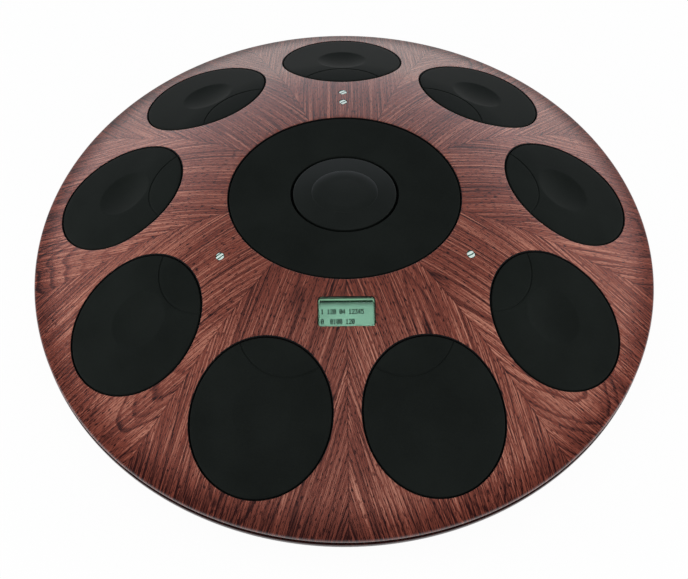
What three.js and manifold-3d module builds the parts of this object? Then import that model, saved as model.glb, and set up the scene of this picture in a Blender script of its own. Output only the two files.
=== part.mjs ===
// A digital handpan: a lens-shaped walnut body with nine tone pads in a ring, an oval ding in the
// middle, a small display and a bay of sockets and controls under its rear edge.
// Millimetres, +Z up. The origin is on the floor, under the centre of the body; -Y faces the player.

import * as THREE from 'three';
import { mergeVertices } from 'three/addons/utils/BufferGeometryUtils.js';
import Module from 'manifold-3d';

const { degToRad, lerp } = THREE.MathUtils;
const wasm = await Module();
wasm.setup();

// Clearance between pieces that touch or seat in one another
const FIT_GAP = 0.3;

// Body: the two shells and the seam between them
const BODY_RADIUS = 260.5;
const CROWN_RADIUS = 52.5;
const BLEND_RADIUS = 251;
const FLANK_ANGLE = degToRad(29);
const RIM_ROUND = 2;
const RIM_LAND = 1;
const TOP_WALL = 16;
const RIM_WALL = 34;
const SEAM_GAP = 4.6;
const GASKET_RECESS = 2.5;
const GASKET_WIDTH = 13;
const BOWL_DEPTH = 40;
const BOWL_ANGLE = degToRad(29);
const BOWL_ROUND = 8;
const BOWL_LAND = 1.5;
const BOWL_WALL = 16;
const BASE_WALL = 8;
const BASE_ROUND = 6;

// Tone pads: round in plan, flush with the dome
const PAD_COUNT = 9;
const PAD_MARGIN = 17.5;
const PAD_WEB = 21.3;
const PAD_GAP = 0.9;
const PAD_THICK = 6.5;
const DIMPLE_RADIUS = 21.8;
const DIMPLE_DEPTH = 3.8;
const DIMPLE_INSET = 3;
const ARC_RADIUS = 40;
const ARC_CLEAR = 2.8;
const ARC_WIDTH = 1.4;
const ARC_DEPTH = 0.5;
const SENSOR_THICK = 2;
const SENSOR_INSET = 8;

// Ding: an oval ring pad round a crowned oval centre pad with a raised cap
const DING_HALF_X = 92.8;
const DING_HALF_Y = 81.6;
const CENTER_HALF_X = 43;
const CENTER_HALF_Y = 38.5;
const CENTER_GAP = 1.6;
const CENTER_CROWN = 1.8;
const CAP_HALF_X = 26.3;
const CAP_HALF_Y = 21.7;
const CAP_HEIGHT = 3;
const CAP_EDGE = 3;

// Shell inlay dots: bearing, and place between the ding's edge (0) and the pads' edge (1)
const DOT_RADIUS = 3.2;
const DOT_THICK = 2;
const DOT_PLACES = [
  { bearing: 90, share: 0.67 },
  { bearing: 90, share: 0.4 },
  { bearing: 210, share: 0.49 },
  { bearing: 330, share: 0.49 },
];

// Display
const LCD_WIDTH = 42.1;
const LCD_HEIGHT = 22.5;
const LCD_CORNER = 2.2;
const LCD_MARGIN = 15.4;
const LCD_RECESS = 1;
const LCD_COVER = 1.8;
const LCD_CELL_GLASS = 1.1;
const LCD_CONTACTS = 3;
const LCD_DEPTH = 4.8;
const LCD_BOARD_BORDER = 4;
const BOARD_THICK = 1.6;

// Screws that join the shells, one between each two pads
const SCREW_RADIUS = 2;
const SCREW_INSET = 22.5;
const SCREW_BITE = 9.4;
const SCREW_HEAD_RADIUS = 4;
const SCREW_HEAD_FLAT = 2.8;
const SCREW_HEAD_HEIGHT = 3;
const SCREW_DRIVE = 1.6;
const SCREW_SEAT = 13;

// Feet
const FOOT_HEIGHT = 6;
const FOOT_RADIUS = 15;
const FOOT_TAPER = 1.5;
const FOOT_INSET = 34;
const FOOT_PEG_RADIUS = 4;
const FOOT_PEG_LENGTH = 5;

// Bay under the rear edge, and the panel on its back wall
const BAY_WIDTH = 124;
const BAY_DEPTH = 48.5;
const BAY_LINTEL = 6;
const BAY_WALL = 6;
const PANEL_MARGIN = 4;
const PANEL_DROP = 2;
const PANEL_HEIGHT = 20;
const PANEL_THICK = 2;
const PANEL_CORNER = 4;
const PANEL_LAP = 2.5;
const PANEL_END_LAP = 5;

// Sockets and controls along the panel
const PORT_COUNT = 6;
const PORT_PITCH = 17;
const JACK_BORE = 3.3;
const JACK_BUSHING = 4.5;
const JACK_BODY = 14;
const JACK_LENGTH = 22;
const JACK_BOTTOM = 3;
const NUT_RADIUS = 6.8;
const NUT_HEIGHT = 2;
const BUSHING_PROUD = 3.4;
const USB_WIDTH = 9;
const USB_HEIGHT = 3.4;
const USB_WALL = 0.35;
const USB_DEPTH = 7;
const USB_TONGUE = 0.7;
const USB_TONGUE_CLEAR = 1;
const USB_BODY = 12;
const USB_BACK = 2;
const CONTROL_BODY = 13;
const CONTROL_LENGTH = 9;
const CONTROL_BACK = 2;
const CONTROL_BUSHING = 4;
const SHAFT_RADIUS = 3;
const KNOB_RADIUS = 7.2;
const KNOB_LENGTH = 11;
const KNOB_FLUTES = 14;
const KNOB_FLUTE = 0.35;
const KNOB_MARK = 0.8;
const BUTTON_RADIUS = 4;
const BUTTON_EDGE = 0.8;
const BUTTON_PROUD = 3;
const BUTTON_LENGTH = 9;
const BUTTON_TRAVEL = 1.5;

// Inside: board, battery and flat cables
const BOARD_WIDTH = 150;
const BOARD_LENGTH = 110;
const BOARD_Y = 60;
const BOARD_BOSS = 6;
const BOSS_RADIUS = 5;
const BATTERY_WIDTH = 110;
const BATTERY_LENGTH = 66;
const BATTERY_HEIGHT = 20;
const BATTERY_Y = -90;
const TRAY_WALL = 2;
const TRAY_RIM = 10;
const RIBBON_THICK = 0.8;
const LCD_RIBBON_WIDTH = 14;
const IO_RIBBON_WIDTH = 30;
const RIBBON_LEAD = 10;
const RIBBON_RISE = 15;
const RIBBON_DROP = 30;

// Facets: the dome's counts are whole multiples of the pads', so that every pad is the same solid.
// Surfaces that nobody sees have fewer.
const DOME_SIDES = PAD_COUNT * 6;
const INNER_SIDES = PAD_COUNT * 3;
const ROUND_SIDES = 28;
const SMALL_SIDES = 10;
const HOLE_SIDES = 8;
const SENSOR_SIDES = 12;
const FOOT_SIDES = 12;
const BLEND_STEPS = 5;
const INNER_STEPS = 3;
const DIMPLE_STEPS = 3;
const CAP_STEPS = 2;
const ROUND_STEPS = 2;
const CORNER_STEPS = 3;
const RIBBON_STEPS = 14;
const MERGE_STEP = 1e-4;

// How far a cutting form reaches past what it cuts
const OVER = 30;

// Heights and radii that follow from the driving dimensions
const sidesAngle = Math.PI / PAD_COUNT;
const pocketRadius = ((BODY_RADIUS - PAD_MARGIN) * Math.sin(sidesAngle) - PAD_WEB / 2)
  / (1 + Math.sin(sidesAngle));
const ringRadius = BODY_RADIUS - PAD_MARGIN - pocketRadius;
const padRadius = pocketRadius - PAD_GAP;
const padsEdge = ringRadius - pocketRadius;
const pocketDepth = PAD_THICK + SENSOR_THICK + 2 * FIT_GAP;
const bowlTop = FOOT_HEIGHT + BOWL_DEPTH;
const seamTop = bowlTop + SEAM_GAP;
const blendEnd = CROWN_RADIUS + BLEND_RADIUS * Math.sin(FLANK_ANGLE);
const blendDrop = BLEND_RADIUS * (1 - Math.cos(FLANK_ANGLE));
const rimCenter = BODY_RADIUS - RIM_ROUND;
const rimDrop = flankDrop(rimCenter) + RIM_ROUND / Math.cos(FLANK_ANGLE);
const crownZ = seamTop + RIM_LAND + rimDrop;
const cavityRadius = BODY_RADIUS - RIM_WALL;
const bowlCenterR = BODY_RADIUS - BOWL_ROUND;
const bowlCenterZ = bowlTop - BOWL_LAND;
const baseRadius = bowlCenterR + BOWL_ROUND * Math.sin(BOWL_ANGLE)
  - (bowlCenterZ - BOWL_ROUND * Math.cos(BOWL_ANGLE) - FOOT_HEIGHT) / Math.tan(BOWL_ANGLE);
const floorZ = FOOT_HEIGHT + BASE_WALL;
const gasketOuter = BODY_RADIUS - GASKET_RECESS;
const gasketInner = gasketOuter - GASKET_WIDTH;
const screwRing = BODY_RADIUS - SCREW_INSET;
const screwSeatZ = bowlTop - SCREW_SEAT;

function flankDrop(r) {
  return blendDrop + (r - blendEnd) * Math.tan(FLANK_ANGLE);
}

// Slope of the dome at a distance from its axis, and its height there
function domeSlope(r) {
  const sine = THREE.MathUtils.clamp((r - CROWN_RADIUS) / BLEND_RADIUS, 0, Math.sin(FLANK_ANGLE));
  return Math.asin(sine);
}

function domeZ(r) {
  const drop = r > blendEnd ? flankDrop(r) : BLEND_RADIUS * (1 - Math.cos(domeSlope(r)));
  return crownZ - drop;
}

// Solids: three.js geometry in, boolean, three.js geometry out
function solid(geometry) {
  const bare = new THREE.BufferGeometry();
  bare.setAttribute('position', geometry.getAttribute('position'));
  bare.setIndex(geometry.getIndex());
  const merged = mergeVertices(bare, MERGE_STEP);
  const corners = merged.getIndex().array;
  const kept = [];
  for (let i = 0; i < corners.length; i += 3) {
    const [a, b, c] = corners.slice(i, i + 3);
    if (a !== b && b !== c && c !== a) kept.push(a, b, c);
  }
  const vertProperties = new Float32Array(merged.getAttribute('position').array);
  return new wasm.Manifold(new wasm.Mesh({ numProp: 3, vertProperties, triVerts: new Uint32Array(kept) }));
}

function geometryOf(body) {
  const { vertProperties, triVerts } = body.getMesh();
  const geometry = new THREE.BufferGeometry();
  geometry.setAttribute('position', new THREE.BufferAttribute(vertProperties, 3));
  geometry.setIndex(new THREE.BufferAttribute(triVerts, 1));
  geometry.computeVertexNormals();
  return geometry;
}

function cut(body, ...tools) {
  return tools.reduce((rest, tool) => rest.subtract(tool), body);
}

function join(body, ...others) {
  return others.reduce((sum, other) => sum.add(other), body);
}

// Basic forms, all standing on +Z
function revolve(profile, sides) {
  return new THREE.LatheGeometry(profile, sides).rotateX(Math.PI / 2);
}

function arc(centerR, centerZ, radius, from, to, steps) {
  const points = [];
  for (let i = 0; i <= steps; i += 1) {
    const angle = lerp(from, to, i / steps);
    points.push(new THREE.Vector2(centerR + radius * Math.cos(angle), centerZ + radius * Math.sin(angle)));
  }
  return points;
}

function point(r, z) {
  return new THREE.Vector2(r, z);
}

function oval(halfX, halfY, low, high, sides = ROUND_SIDES) {
  return new THREE.CylinderGeometry(1, 1, high - low, sides)
    .rotateX(Math.PI / 2)
    .scale(halfX, halfY, 1)
    .translate(0, 0, (low + high) / 2);
}

function round(radius, low, high, sides = SMALL_SIDES) {
  return oval(radius, radius, low, high, sides);
}

function block(width, length, low, high) {
  return new THREE.BoxGeometry(width, length, high - low).translate(0, 0, (low + high) / 2);
}

function roundedPlate(width, length, corner, low, high) {
  const [w, l] = [width / 2 - corner, length / 2 - corner];
  const outline = new THREE.Shape();
  outline.absarc(w, l, corner, 0, Math.PI / 2);
  outline.absarc(-w, l, corner, Math.PI / 2, Math.PI);
  outline.absarc(-w, -l, corner, Math.PI, 1.5 * Math.PI);
  outline.absarc(w, -l, corner, 1.5 * Math.PI, 2 * Math.PI);
  const options = { depth: high - low, bevelEnabled: false, curveSegments: CORNER_STEPS };
  return new THREE.ExtrudeGeometry(outline, options).translate(0, 0, low);
}

// The dome as a profile from the axis outwards, lowered by a depth
function domeProfile(depth, reach, steps = BLEND_STEPS) {
  const points = [point(0, crownZ - depth)];
  for (let i = 0; i <= steps; i += 1) {
    const slope = FLANK_ANGLE * i / steps;
    const r = CROWN_RADIUS + BLEND_RADIUS * Math.sin(slope);
    if (r < reach) points.push(point(r, domeZ(r) - depth));
  }
  points.push(point(reach, domeZ(reach) - depth));
  return points;
}

// Everything under the dome lowered by a depth, down to well below the pockets
function underDome(depth, sides, steps) {
  const reach = BODY_RADIUS + OVER;
  const low = domeZ(reach) - OVER;
  const profile = [...domeProfile(depth, reach, steps), point(reach, low), point(0, low)];
  return solid(revolve(profile.reverse(), sides));
}

const domeSolid = underDome(0, DOME_SIDES, BLEND_STEPS);
const grooveFloor = underDome(ARC_DEPTH, DOME_SIDES, BLEND_STEPS);
const padUnderside = underDome(PAD_THICK, INNER_SIDES, INNER_STEPS);
const sensorTop = underDome(PAD_THICK + FIT_GAP, INNER_SIDES, INNER_STEPS);
const sensorUnderside = underDome(PAD_THICK + FIT_GAP + SENSOR_THICK, INNER_SIDES, INNER_STEPS);
const pocketFloor = underDome(pocketDepth, INNER_SIDES, INNER_STEPS);
const toolLow = domeZ(BODY_RADIUS) - OVER;
const toolHigh = crownZ + OVER;

// A form standing at the first pad's place, which is straight behind the ding
function atPad(geometry, offset = 0) {
  return solid(geometry.translate(0, ringRadius + offset, 0));
}

// Tone pad: flush with the dome, with a round dimple and an arc groove on its inner side
function tonePad() {
  const outline = atPad(round(padRadius, toolLow, toolHigh, ROUND_SIDES));
  const blank = outline.intersect(domeSolid).subtract(padUnderside);
  const dimpleY = ringRadius - DIMPLE_INSET;
  const bowlRadius = (DIMPLE_RADIUS ** 2 + DIMPLE_DEPTH ** 2) / (2 * DIMPLE_DEPTH);
  const halfAngle = Math.asin(DIMPLE_RADIUS / bowlRadius);
  const down = -Math.PI / 2;
  const bowl = arc(0, bowlRadius - DIMPLE_DEPTH, bowlRadius, down, down + halfAngle, DIMPLE_STEPS);
  const lip = bowl[bowl.length - 1].x;
  const lens = revolve([...bowl, point(lip, OVER), point(0, OVER)], ROUND_SIDES / 2);
  const lean = new THREE.Matrix4().makeShear(0, 0, 0, -Math.tan(domeSlope(dimpleY)), 0, 0);
  const dimple = solid(lens.applyMatrix4(lean).translate(0, dimpleY, domeZ(dimpleY)));
  const arcY = dimpleY - DIMPLE_RADIUS - ARC_CLEAR - ARC_RADIUS;
  const ring = [
    point(ARC_RADIUS - ARC_WIDTH / 2, toolLow),
    point(ARC_RADIUS + ARC_WIDTH / 2, toolLow),
    point(ARC_RADIUS + ARC_WIDTH / 2, toolHigh),
    point(ARC_RADIUS - ARC_WIDTH / 2, toolHigh),
    point(ARC_RADIUS - ARC_WIDTH / 2, toolLow),
  ];
  const groove = solid(revolve(ring, 2 * SMALL_SIDES).translate(0, arcY, 0)).subtract(grooveFloor);
  return geometryOf(cut(blank, dimple, groove));
}

function toneSensor() {
  const outline = atPad(round(padRadius - SENSOR_INSET, toolLow, toolHigh, SENSOR_SIDES));
  return geometryOf(outline.intersect(sensorTop).subtract(sensorUnderside));
}

// Ding pads follow the dome too, whose crown is flat under the centre pad
function ovalSolid(halfX, halfY, sides = ROUND_SIDES) {
  return solid(oval(halfX, halfY, toolLow, toolHigh, sides));
}

function dingShoulder() {
  const ring = ovalSolid(DING_HALF_X - PAD_GAP, DING_HALF_Y - PAD_GAP)
    .subtract(ovalSolid(CENTER_HALF_X, CENTER_HALF_Y));
  return geometryOf(ring.intersect(domeSolid).subtract(padUnderside));
}

function dingCenter() {
  const [halfX, halfY] = [CENTER_HALF_X - CENTER_GAP, CENTER_HALF_Y - CENTER_GAP];
  const capShare = CAP_HALF_X / halfX;
  const crown = (share) => CENTER_CROWN * (1 - share ** 2);
  const pad = [point(0, -PAD_THICK), point(1, -PAD_THICK), point(1, 0)];
  for (let i = CAP_STEPS - 1; i >= 0; i -= 1) {
    const share = lerp(capShare, 1, i / CAP_STEPS);
    pad.push(point(share, crown(share)));
  }
  pad.push(point(0, crown(capShare)));
  const capFall = CENTER_CROWN - crown(capShare);
  const shoulder = 1 - CAP_EDGE / CAP_HALF_X;
  const rise = CAP_HEIGHT - capFall * shoulder ** 2 - crown(capShare);
  const edge = arc(0, 0, 1, 0, Math.PI / 2, ROUND_STEPS)
    .map(({ x, y }) => point(lerp(shoulder, 1, x), crown(capShare) + rise * y));
  const middle = point(shoulder / 2, CAP_HEIGHT - capFall * (shoulder / 2) ** 2);
  const cap = [point(0, -PAD_THICK / 2), point(1, -PAD_THICK / 2), ...edge, middle, point(0, CAP_HEIGHT)];
  const forms = [
    revolve(pad, ROUND_SIDES).scale(halfX, halfY, 1),
    revolve(cap, ROUND_SIDES).scale(CAP_HALF_X, CAP_HALF_Y, 1),
  ];
  return geometryOf(join(...forms.map((form) => solid(form.translate(0, 0, crownZ)))));
}

function dingShoulderSensor() {
  const ring = ovalSolid(DING_HALF_X - SENSOR_INSET, DING_HALF_Y - SENSOR_INSET, SENSOR_SIDES)
    .subtract(ovalSolid(CENTER_HALF_X + SENSOR_INSET, CENTER_HALF_Y + SENSOR_INSET, SENSOR_SIDES));
  return geometryOf(ring.intersect(sensorTop).subtract(sensorUnderside));
}

function dingCenterSensor() {
  const disc = ovalSolid(CENTER_HALF_X - SENSOR_INSET, CENTER_HALF_Y - SENSOR_INSET, SENSOR_SIDES);
  return geometryOf(disc.intersect(sensorTop).subtract(sensorUnderside));
}

// Inlay dots lie in the dome's tangent plane between the ding and the pads
function dingEdge(bearing) {
  return 1 / Math.hypot(Math.cos(bearing) / DING_HALF_X, Math.sin(bearing) / DING_HALF_Y);
}

// The frame of a thing let into the dome: Z along the dome's normal, X along the slope, outwards
function domeFrame(bearing, r) {
  const turn = new THREE.Matrix4().makeRotationZ(bearing);
  const tilt = new THREE.Matrix4().makeRotationY(domeSlope(r));
  return turn.multiply(new THREE.Matrix4().makeTranslation(r, 0, domeZ(r))).multiply(tilt);
}

const dotFrames = DOT_PLACES.map(({ bearing, share }) => {
  const angle = degToRad(bearing);
  return domeFrame(angle, lerp(dingEdge(angle), padsEdge, share));
});

// Display: a cover over a cell of two glasses, on a board that seats behind the opening. The lower
// glass reaches past the upper one on the side of the ding, where its contacts are.
const lcdSlope = domeSlope(DING_HALF_Y + LCD_MARGIN + LCD_HEIGHT / 2);
const lcdR = DING_HALF_Y + LCD_MARGIN + LCD_HEIGHT / 2 * Math.cos(lcdSlope);
const lcdFrame = new THREE.Matrix4()
  .makeTranslation(0, -lcdR, domeZ(lcdR))
  .multiply(new THREE.Matrix4().makeRotationX(domeSlope(lcdR)));
const coverLow = -LCD_RECESS - LCD_COVER;
const cellTop = coverLow - FIT_GAP;
const lcdSeat = cellTop - LCD_DEPTH;
const lcdBoardTop = lcdSeat - FIT_GAP;
const lcdBoardWidth = LCD_WIDTH + 2 * LCD_BOARD_BORDER;
const lcdBoardHeight = LCD_HEIGHT + 2 * LCD_BOARD_BORDER;

function lcdWindow() {
  return roundedPlate(LCD_WIDTH, LCD_HEIGHT, LCD_CORNER, coverLow, -LCD_RECESS);
}

function lcdModule() {
  const boardMiddle = lcdBoardTop - BOARD_THICK / 2;
  const lowerTop = cellTop - LCD_CELL_GLASS;
  const board = block(lcdBoardWidth, lcdBoardHeight, lcdBoardTop - BOARD_THICK, lcdBoardTop);
  const lower = roundedPlate(LCD_WIDTH, LCD_HEIGHT, LCD_CORNER, boardMiddle, lowerTop);
  const upper = roundedPlate(LCD_WIDTH, LCD_HEIGHT - LCD_CONTACTS, LCD_CORNER, boardMiddle, cellTop)
    .translate(0, -LCD_CONTACTS / 2, 0);
  return geometryOf(join(solid(board), solid(lower), solid(upper)));
}

function lcdOpening() {
  const [width, height] = [LCD_WIDTH + 2 * FIT_GAP, LCD_HEIGHT + 2 * FIT_GAP];
  const sight = roundedPlate(width, height, LCD_CORNER + FIT_GAP, lcdSeat - OVER, OVER);
  const rear = block(lcdBoardWidth + 2 * FIT_GAP, lcdBoardHeight + 2 * FIT_GAP, lcdSeat - OVER, lcdSeat);
  return join(...[sight, rear].map((form) => solid(form.applyMatrix4(lcdFrame))));
}

// Top shell: the dome with a rounded rim, hollow below, with a pocket for each thing let into it
function topShell() {
  const rim = arc(rimCenter, seamTop + RIM_LAND, RIM_ROUND, 0, Math.PI / 2 - FLANK_ANGLE, ROUND_STEPS);
  const top = domeProfile(0, rimCenter).slice(0, -1).reverse();
  const outside = [point(0, seamTop), point(BODY_RADIUS, seamTop), ...rim, ...top];
  const roof = domeProfile(TOP_WALL, cavityRadius, INNER_STEPS).reverse();
  const inside = [point(0, seamTop - OVER), point(cavityRadius, seamTop - OVER), ...roof];
  const padPocket = round(pocketRadius, toolLow, toolHigh, ROUND_SIDES).translate(0, ringRadius, 0);
  const pilot = round(SCREW_RADIUS + FIT_GAP, seamTop - OVER, seamTop + SCREW_BITE + FIT_GAP, HOLE_SIDES)
    .translate(0, screwRing, 0)
    .rotateZ(sidesAngle);
  let shell = solid(revolve(outside, DOME_SIDES)).subtract(solid(revolve(inside, INNER_SIDES)));
  for (let i = 0; i < PAD_COUNT; i += 1) {
    const turn = 2 * sidesAngle * i;
    shell = cut(shell, solid(padPocket.clone().rotateZ(turn)).subtract(pocketFloor));
    shell = cut(shell, solid(pilot.clone().rotateZ(turn)));
  }
  shell = cut(shell, ovalSolid(DING_HALF_X, DING_HALF_Y).subtract(pocketFloor), lcdOpening());
  const dotPocket = round(DOT_RADIUS + FIT_GAP, -DOT_THICK - FIT_GAP, OVER);
  dotFrames.forEach((frame) => {
    shell = cut(shell, solid(dotPocket.clone().applyMatrix4(frame)));
  });
  return geometryOf(shell);
}

// Gasket: a flat ring in the seam, outside the step where the shells meet
function rimGasket() {
  const ring = [
    point(gasketInner, bowlTop + FIT_GAP),
    point(gasketOuter, bowlTop + FIT_GAP),
    point(gasketOuter, seamTop - FIT_GAP),
    point(gasketInner, seamTop - FIT_GAP),
    point(gasketInner, bowlTop + FIT_GAP),
  ];
  return revolve(ring, DOME_SIDES);
}

// Bay: its back wall, and the panel on it, which carries sockets and controls
const bayBack = BODY_RADIUS - BAY_DEPTH;
const bayTop = bowlTop - BAY_LINTEL;
const panelWidth = BAY_WIDTH - 2 * PANEL_MARGIN;
const panelZ = bayTop - PANEL_DROP - PANEL_HEIGHT / 2;
const panelFace = bayBack + FIT_GAP + PANEL_THICK;
const footRing = baseRadius - FOOT_INSET;
const footSpot = footRing * Math.SQRT1_2;
const boardZ = floorZ + BOARD_BOSS + FIT_GAP;
const bossX = BOARD_WIDTH / 2 - 2 * BOSS_RADIUS;
const bossY = BOARD_LENGTH / 2 - 2 * BOSS_RADIUS;
const corners = [[1, 1], [-1, 1], [-1, -1], [1, -1]];

// Bottom shell: a shallow bowl with a flat base, the bay, screw counterbores and peg holes for the feet
function bottomShell() {
  const turn = Math.PI / 2;
  const rim = arc(bowlCenterR, bowlCenterZ, BOWL_ROUND, BOWL_ANGLE - turn, 0, ROUND_STEPS);
  const baseTangent = BASE_ROUND * Math.tan(BOWL_ANGLE / 2);
  const baseZ = FOOT_HEIGHT + BASE_ROUND;
  const base = arc(baseRadius - baseTangent, baseZ, BASE_ROUND, -turn, BOWL_ANGLE - turn, 1);
  const step = gasketInner - FIT_GAP;
  const outside = [
    point(0, FOOT_HEIGHT),
    ...base,
    ...rim,
    point(BODY_RADIUS, bowlTop),
    point(step, bowlTop),
    point(step, seamTop - FIT_GAP),
    point(0, seamTop - FIT_GAP),
  ];
  const floorEdge = baseRadius + BASE_WALL / Math.tan(BOWL_ANGLE) - BOWL_WALL;
  const wallFoot = floorZ + (cavityRadius - floorEdge) * Math.tan(BOWL_ANGLE);
  const inside = [
    point(0, floorZ),
    point(floorEdge, floorZ),
    point(cavityRadius, wallFoot),
    point(cavityRadius, bowlTop + OVER),
    point(0, bowlTop + OVER),
  ];
  const bayBlock = block(BAY_WIDTH + 2 * BAY_WALL, 2 * BODY_RADIUS, 0, bowlTop + OVER)
    .translate(0, bayBack - BAY_WALL + BODY_RADIUS, 0);
  const bay = block(BAY_WIDTH, 2 * BODY_RADIUS, -OVER, bayTop).translate(0, bayBack + BODY_RADIUS, 0);
  const windowHalf = PANEL_HEIGHT / 2 - PANEL_LAP;
  const windowWidth = panelWidth - 2 * PANEL_END_LAP;
  const portWindow = block(windowWidth, 2 * OVER, panelZ - windowHalf, panelZ + windowHalf)
    .translate(0, bayBack, 0);
  const cavity = solid(revolve(inside, INNER_SIDES)).subtract(solid(bayBlock));
  let bowl = cut(solid(revolve(outside, DOME_SIDES)), cavity, solid(bay), solid(portWindow));
  const screwHole = round(SCREW_RADIUS + FIT_GAP, 0, bowlTop + OVER, HOLE_SIDES);
  const counterbore = round(SCREW_HEAD_RADIUS + FIT_GAP, 0, screwSeatZ, SMALL_SIDES);
  const screwWay = join(solid(screwHole), solid(counterbore));
  for (let i = 0; i < PAD_COUNT; i += 1) {
    const bearing = sidesAngle * (2 * i + 1);
    const [x, y] = [-screwRing * Math.sin(bearing), screwRing * Math.cos(bearing)];
    bowl = cut(bowl, screwWay.translate([x, y, 0]));
  }
  corners.forEach(([x, y]) => {
    const peg = round(FOOT_PEG_RADIUS + FIT_GAP, 0, FOOT_HEIGHT + FOOT_PEG_LENGTH + FIT_GAP);
    bowl = cut(bowl, solid(peg.translate(x * footSpot, y * footSpot, 0)));
    const boss = round(BOSS_RADIUS, floorZ - BASE_WALL / 2, floorZ + BOARD_BOSS);
    bowl = join(bowl, solid(boss.translate(x * bossX, BOARD_Y + y * bossY, 0)));
  });
  return geometryOf(bowl);
}

// Pan-head wood screw with a square drive
function shellScrew() {
  const tip = seamTop + SCREW_BITE;
  const head = screwSeatZ - FIT_GAP;
  const profile = [
    point(0, head - SCREW_HEAD_HEIGHT),
    point(SCREW_HEAD_FLAT, head - SCREW_HEAD_HEIGHT),
    point(SCREW_HEAD_RADIUS, head - SCREW_HEAD_HEIGHT / 2),
    point(SCREW_HEAD_RADIUS, head),
    point(SCREW_RADIUS, head),
    point(SCREW_RADIUS, tip - 2 * SCREW_RADIUS),
    point(0, tip),
  ];
  const drive = block(2 * SCREW_DRIVE, 2 * SCREW_DRIVE, 0, head - SCREW_HEAD_HEIGHT / 2);
  return geometryOf(cut(solid(revolve(profile, HOLE_SIDES)), solid(drive)));
}

// Rubber foot: a tapered button with a peg that pushes into the base
function foot() {
  const profile = [
    point(0, 0),
    point(FOOT_RADIUS - 2 * FOOT_TAPER, 0),
    point(FOOT_RADIUS - FOOT_TAPER, FOOT_TAPER / 2),
    point(FOOT_RADIUS, FOOT_HEIGHT - FIT_GAP),
    point(FOOT_PEG_RADIUS, FOOT_HEIGHT - FIT_GAP),
    point(FOOT_PEG_RADIUS, FOOT_HEIGHT + FOOT_PEG_LENGTH),
    point(0, FOOT_HEIGHT + FOOT_PEG_LENGTH),
  ];
  return revolve(profile, FOOT_SIDES);
}

// Panel pieces are drawn with Z pointing out of the panel's face
const behindPanel = -PANEL_THICK - FIT_GAP;
const portX = Array.from({ length: PORT_COUNT }, (_, i) => (i - (PORT_COUNT - 1) / 2) * PORT_PITCH);
const [powerX, usbX, headphoneX, lineX, presetX, volumeX] = portX;

function portPanel() {
  const plate = solid(roundedPlate(panelWidth, PANEL_HEIGHT, PANEL_CORNER, -PANEL_THICK, 0));
  const hole = (radius, x) => solid(round(radius + FIT_GAP, -OVER, OVER).translate(x, 0, 0));
  const [usbWidth, usbHeight] = [USB_WIDTH + 2 * FIT_GAP, USB_HEIGHT + 2 * FIT_GAP];
  const usbHole = roundedPlate(usbWidth, usbHeight, USB_HEIGHT / 2, -OVER, OVER);
  return geometryOf(cut(
    plate,
    hole(BUTTON_RADIUS, powerX),
    solid(usbHole.translate(usbX, 0, 0)),
    hole(JACK_BUSHING, headphoneX),
    hole(JACK_BUSHING, lineX),
    hole(CONTROL_BUSHING, presetX),
    hole(CONTROL_BUSHING, volumeX),
  ));
}

// A body behind the panel with a bushing through it and a hexagon nut in front
function bushed(bodySize, bodyLength, bushing) {
  const body = solid(block(bodySize, bodySize, behindPanel - bodyLength, behindPanel));
  const neck = solid(round(bushing, behindPanel - bodyLength / 2, BUSHING_PROUD));
  const nut = solid(round(NUT_RADIUS, FIT_GAP, FIT_GAP + NUT_HEIGHT, 6));
  return join(body, neck, nut);
}

function jack() {
  const bore = round(JACK_BORE, behindPanel - JACK_LENGTH + JACK_BOTTOM, OVER);
  return geometryOf(cut(bushed(JACK_BODY, JACK_LENGTH, JACK_BUSHING), solid(bore)));
}

function usbSocket() {
  const corner = (height) => height / 2 - USB_WALL;
  const inWidth = USB_WIDTH - 2 * USB_WALL;
  const inHeight = USB_HEIGHT - 2 * USB_WALL;
  const shellForm = roundedPlate(USB_WIDTH, USB_HEIGHT, corner(USB_HEIGHT), behindPanel - USB_DEPTH, 0);
  const mouthEnd = behindPanel - USB_DEPTH;
  const body = block(USB_BODY, USB_BODY, mouthEnd - USB_BACK, behindPanel);
  const mouth = roundedPlate(inWidth, inHeight, corner(inHeight), mouthEnd, OVER);
  const tongueWidth = inWidth - 2 * USB_TONGUE_CLEAR;
  const tongue = block(tongueWidth, USB_TONGUE, mouthEnd - USB_BACK / 2, -USB_TONGUE_CLEAR);
  return geometryOf(join(cut(join(solid(body), solid(shellForm)), solid(mouth)), solid(tongue)));
}

const shaftEnd = behindPanel - CONTROL_LENGTH + CONTROL_BACK;
function controlBody() {
  const shaftHole = round(SHAFT_RADIUS + FIT_GAP, shaftEnd, OVER);
  return geometryOf(cut(bushed(CONTROL_BODY, CONTROL_LENGTH, CONTROL_BUSHING), solid(shaftHole)));
}

// Fluted knob with its shaft and a pointer groove across its face
function knob() {
  const outline = new THREE.Shape();
  const steps = KNOB_FLUTES * 3;
  for (let i = 0; i < steps; i += 1) {
    const angle = 2 * Math.PI * i / steps;
    const r = KNOB_RADIUS + KNOB_FLUTE * Math.cos(KNOB_FLUTES * angle);
    if (i === 0) outline.moveTo(r, 0);
    else outline.lineTo(r * Math.cos(angle), r * Math.sin(angle));
  }
  const low = BUSHING_PROUD + FIT_GAP;
  const high = low + KNOB_LENGTH;
  const options = { depth: KNOB_LENGTH, bevelEnabled: false };
  const grip = new THREE.ExtrudeGeometry(outline, options).translate(0, 0, low);
  const shaft = round(SHAFT_RADIUS, shaftEnd + FIT_GAP, low + KNOB_LENGTH / 2);
  const mark = block(KNOB_MARK, KNOB_RADIUS, high - KNOB_MARK, OVER).translate(0, -KNOB_RADIUS, 0);
  return geometryOf(cut(join(solid(grip), solid(shaft)), solid(mark)));
}

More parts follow.
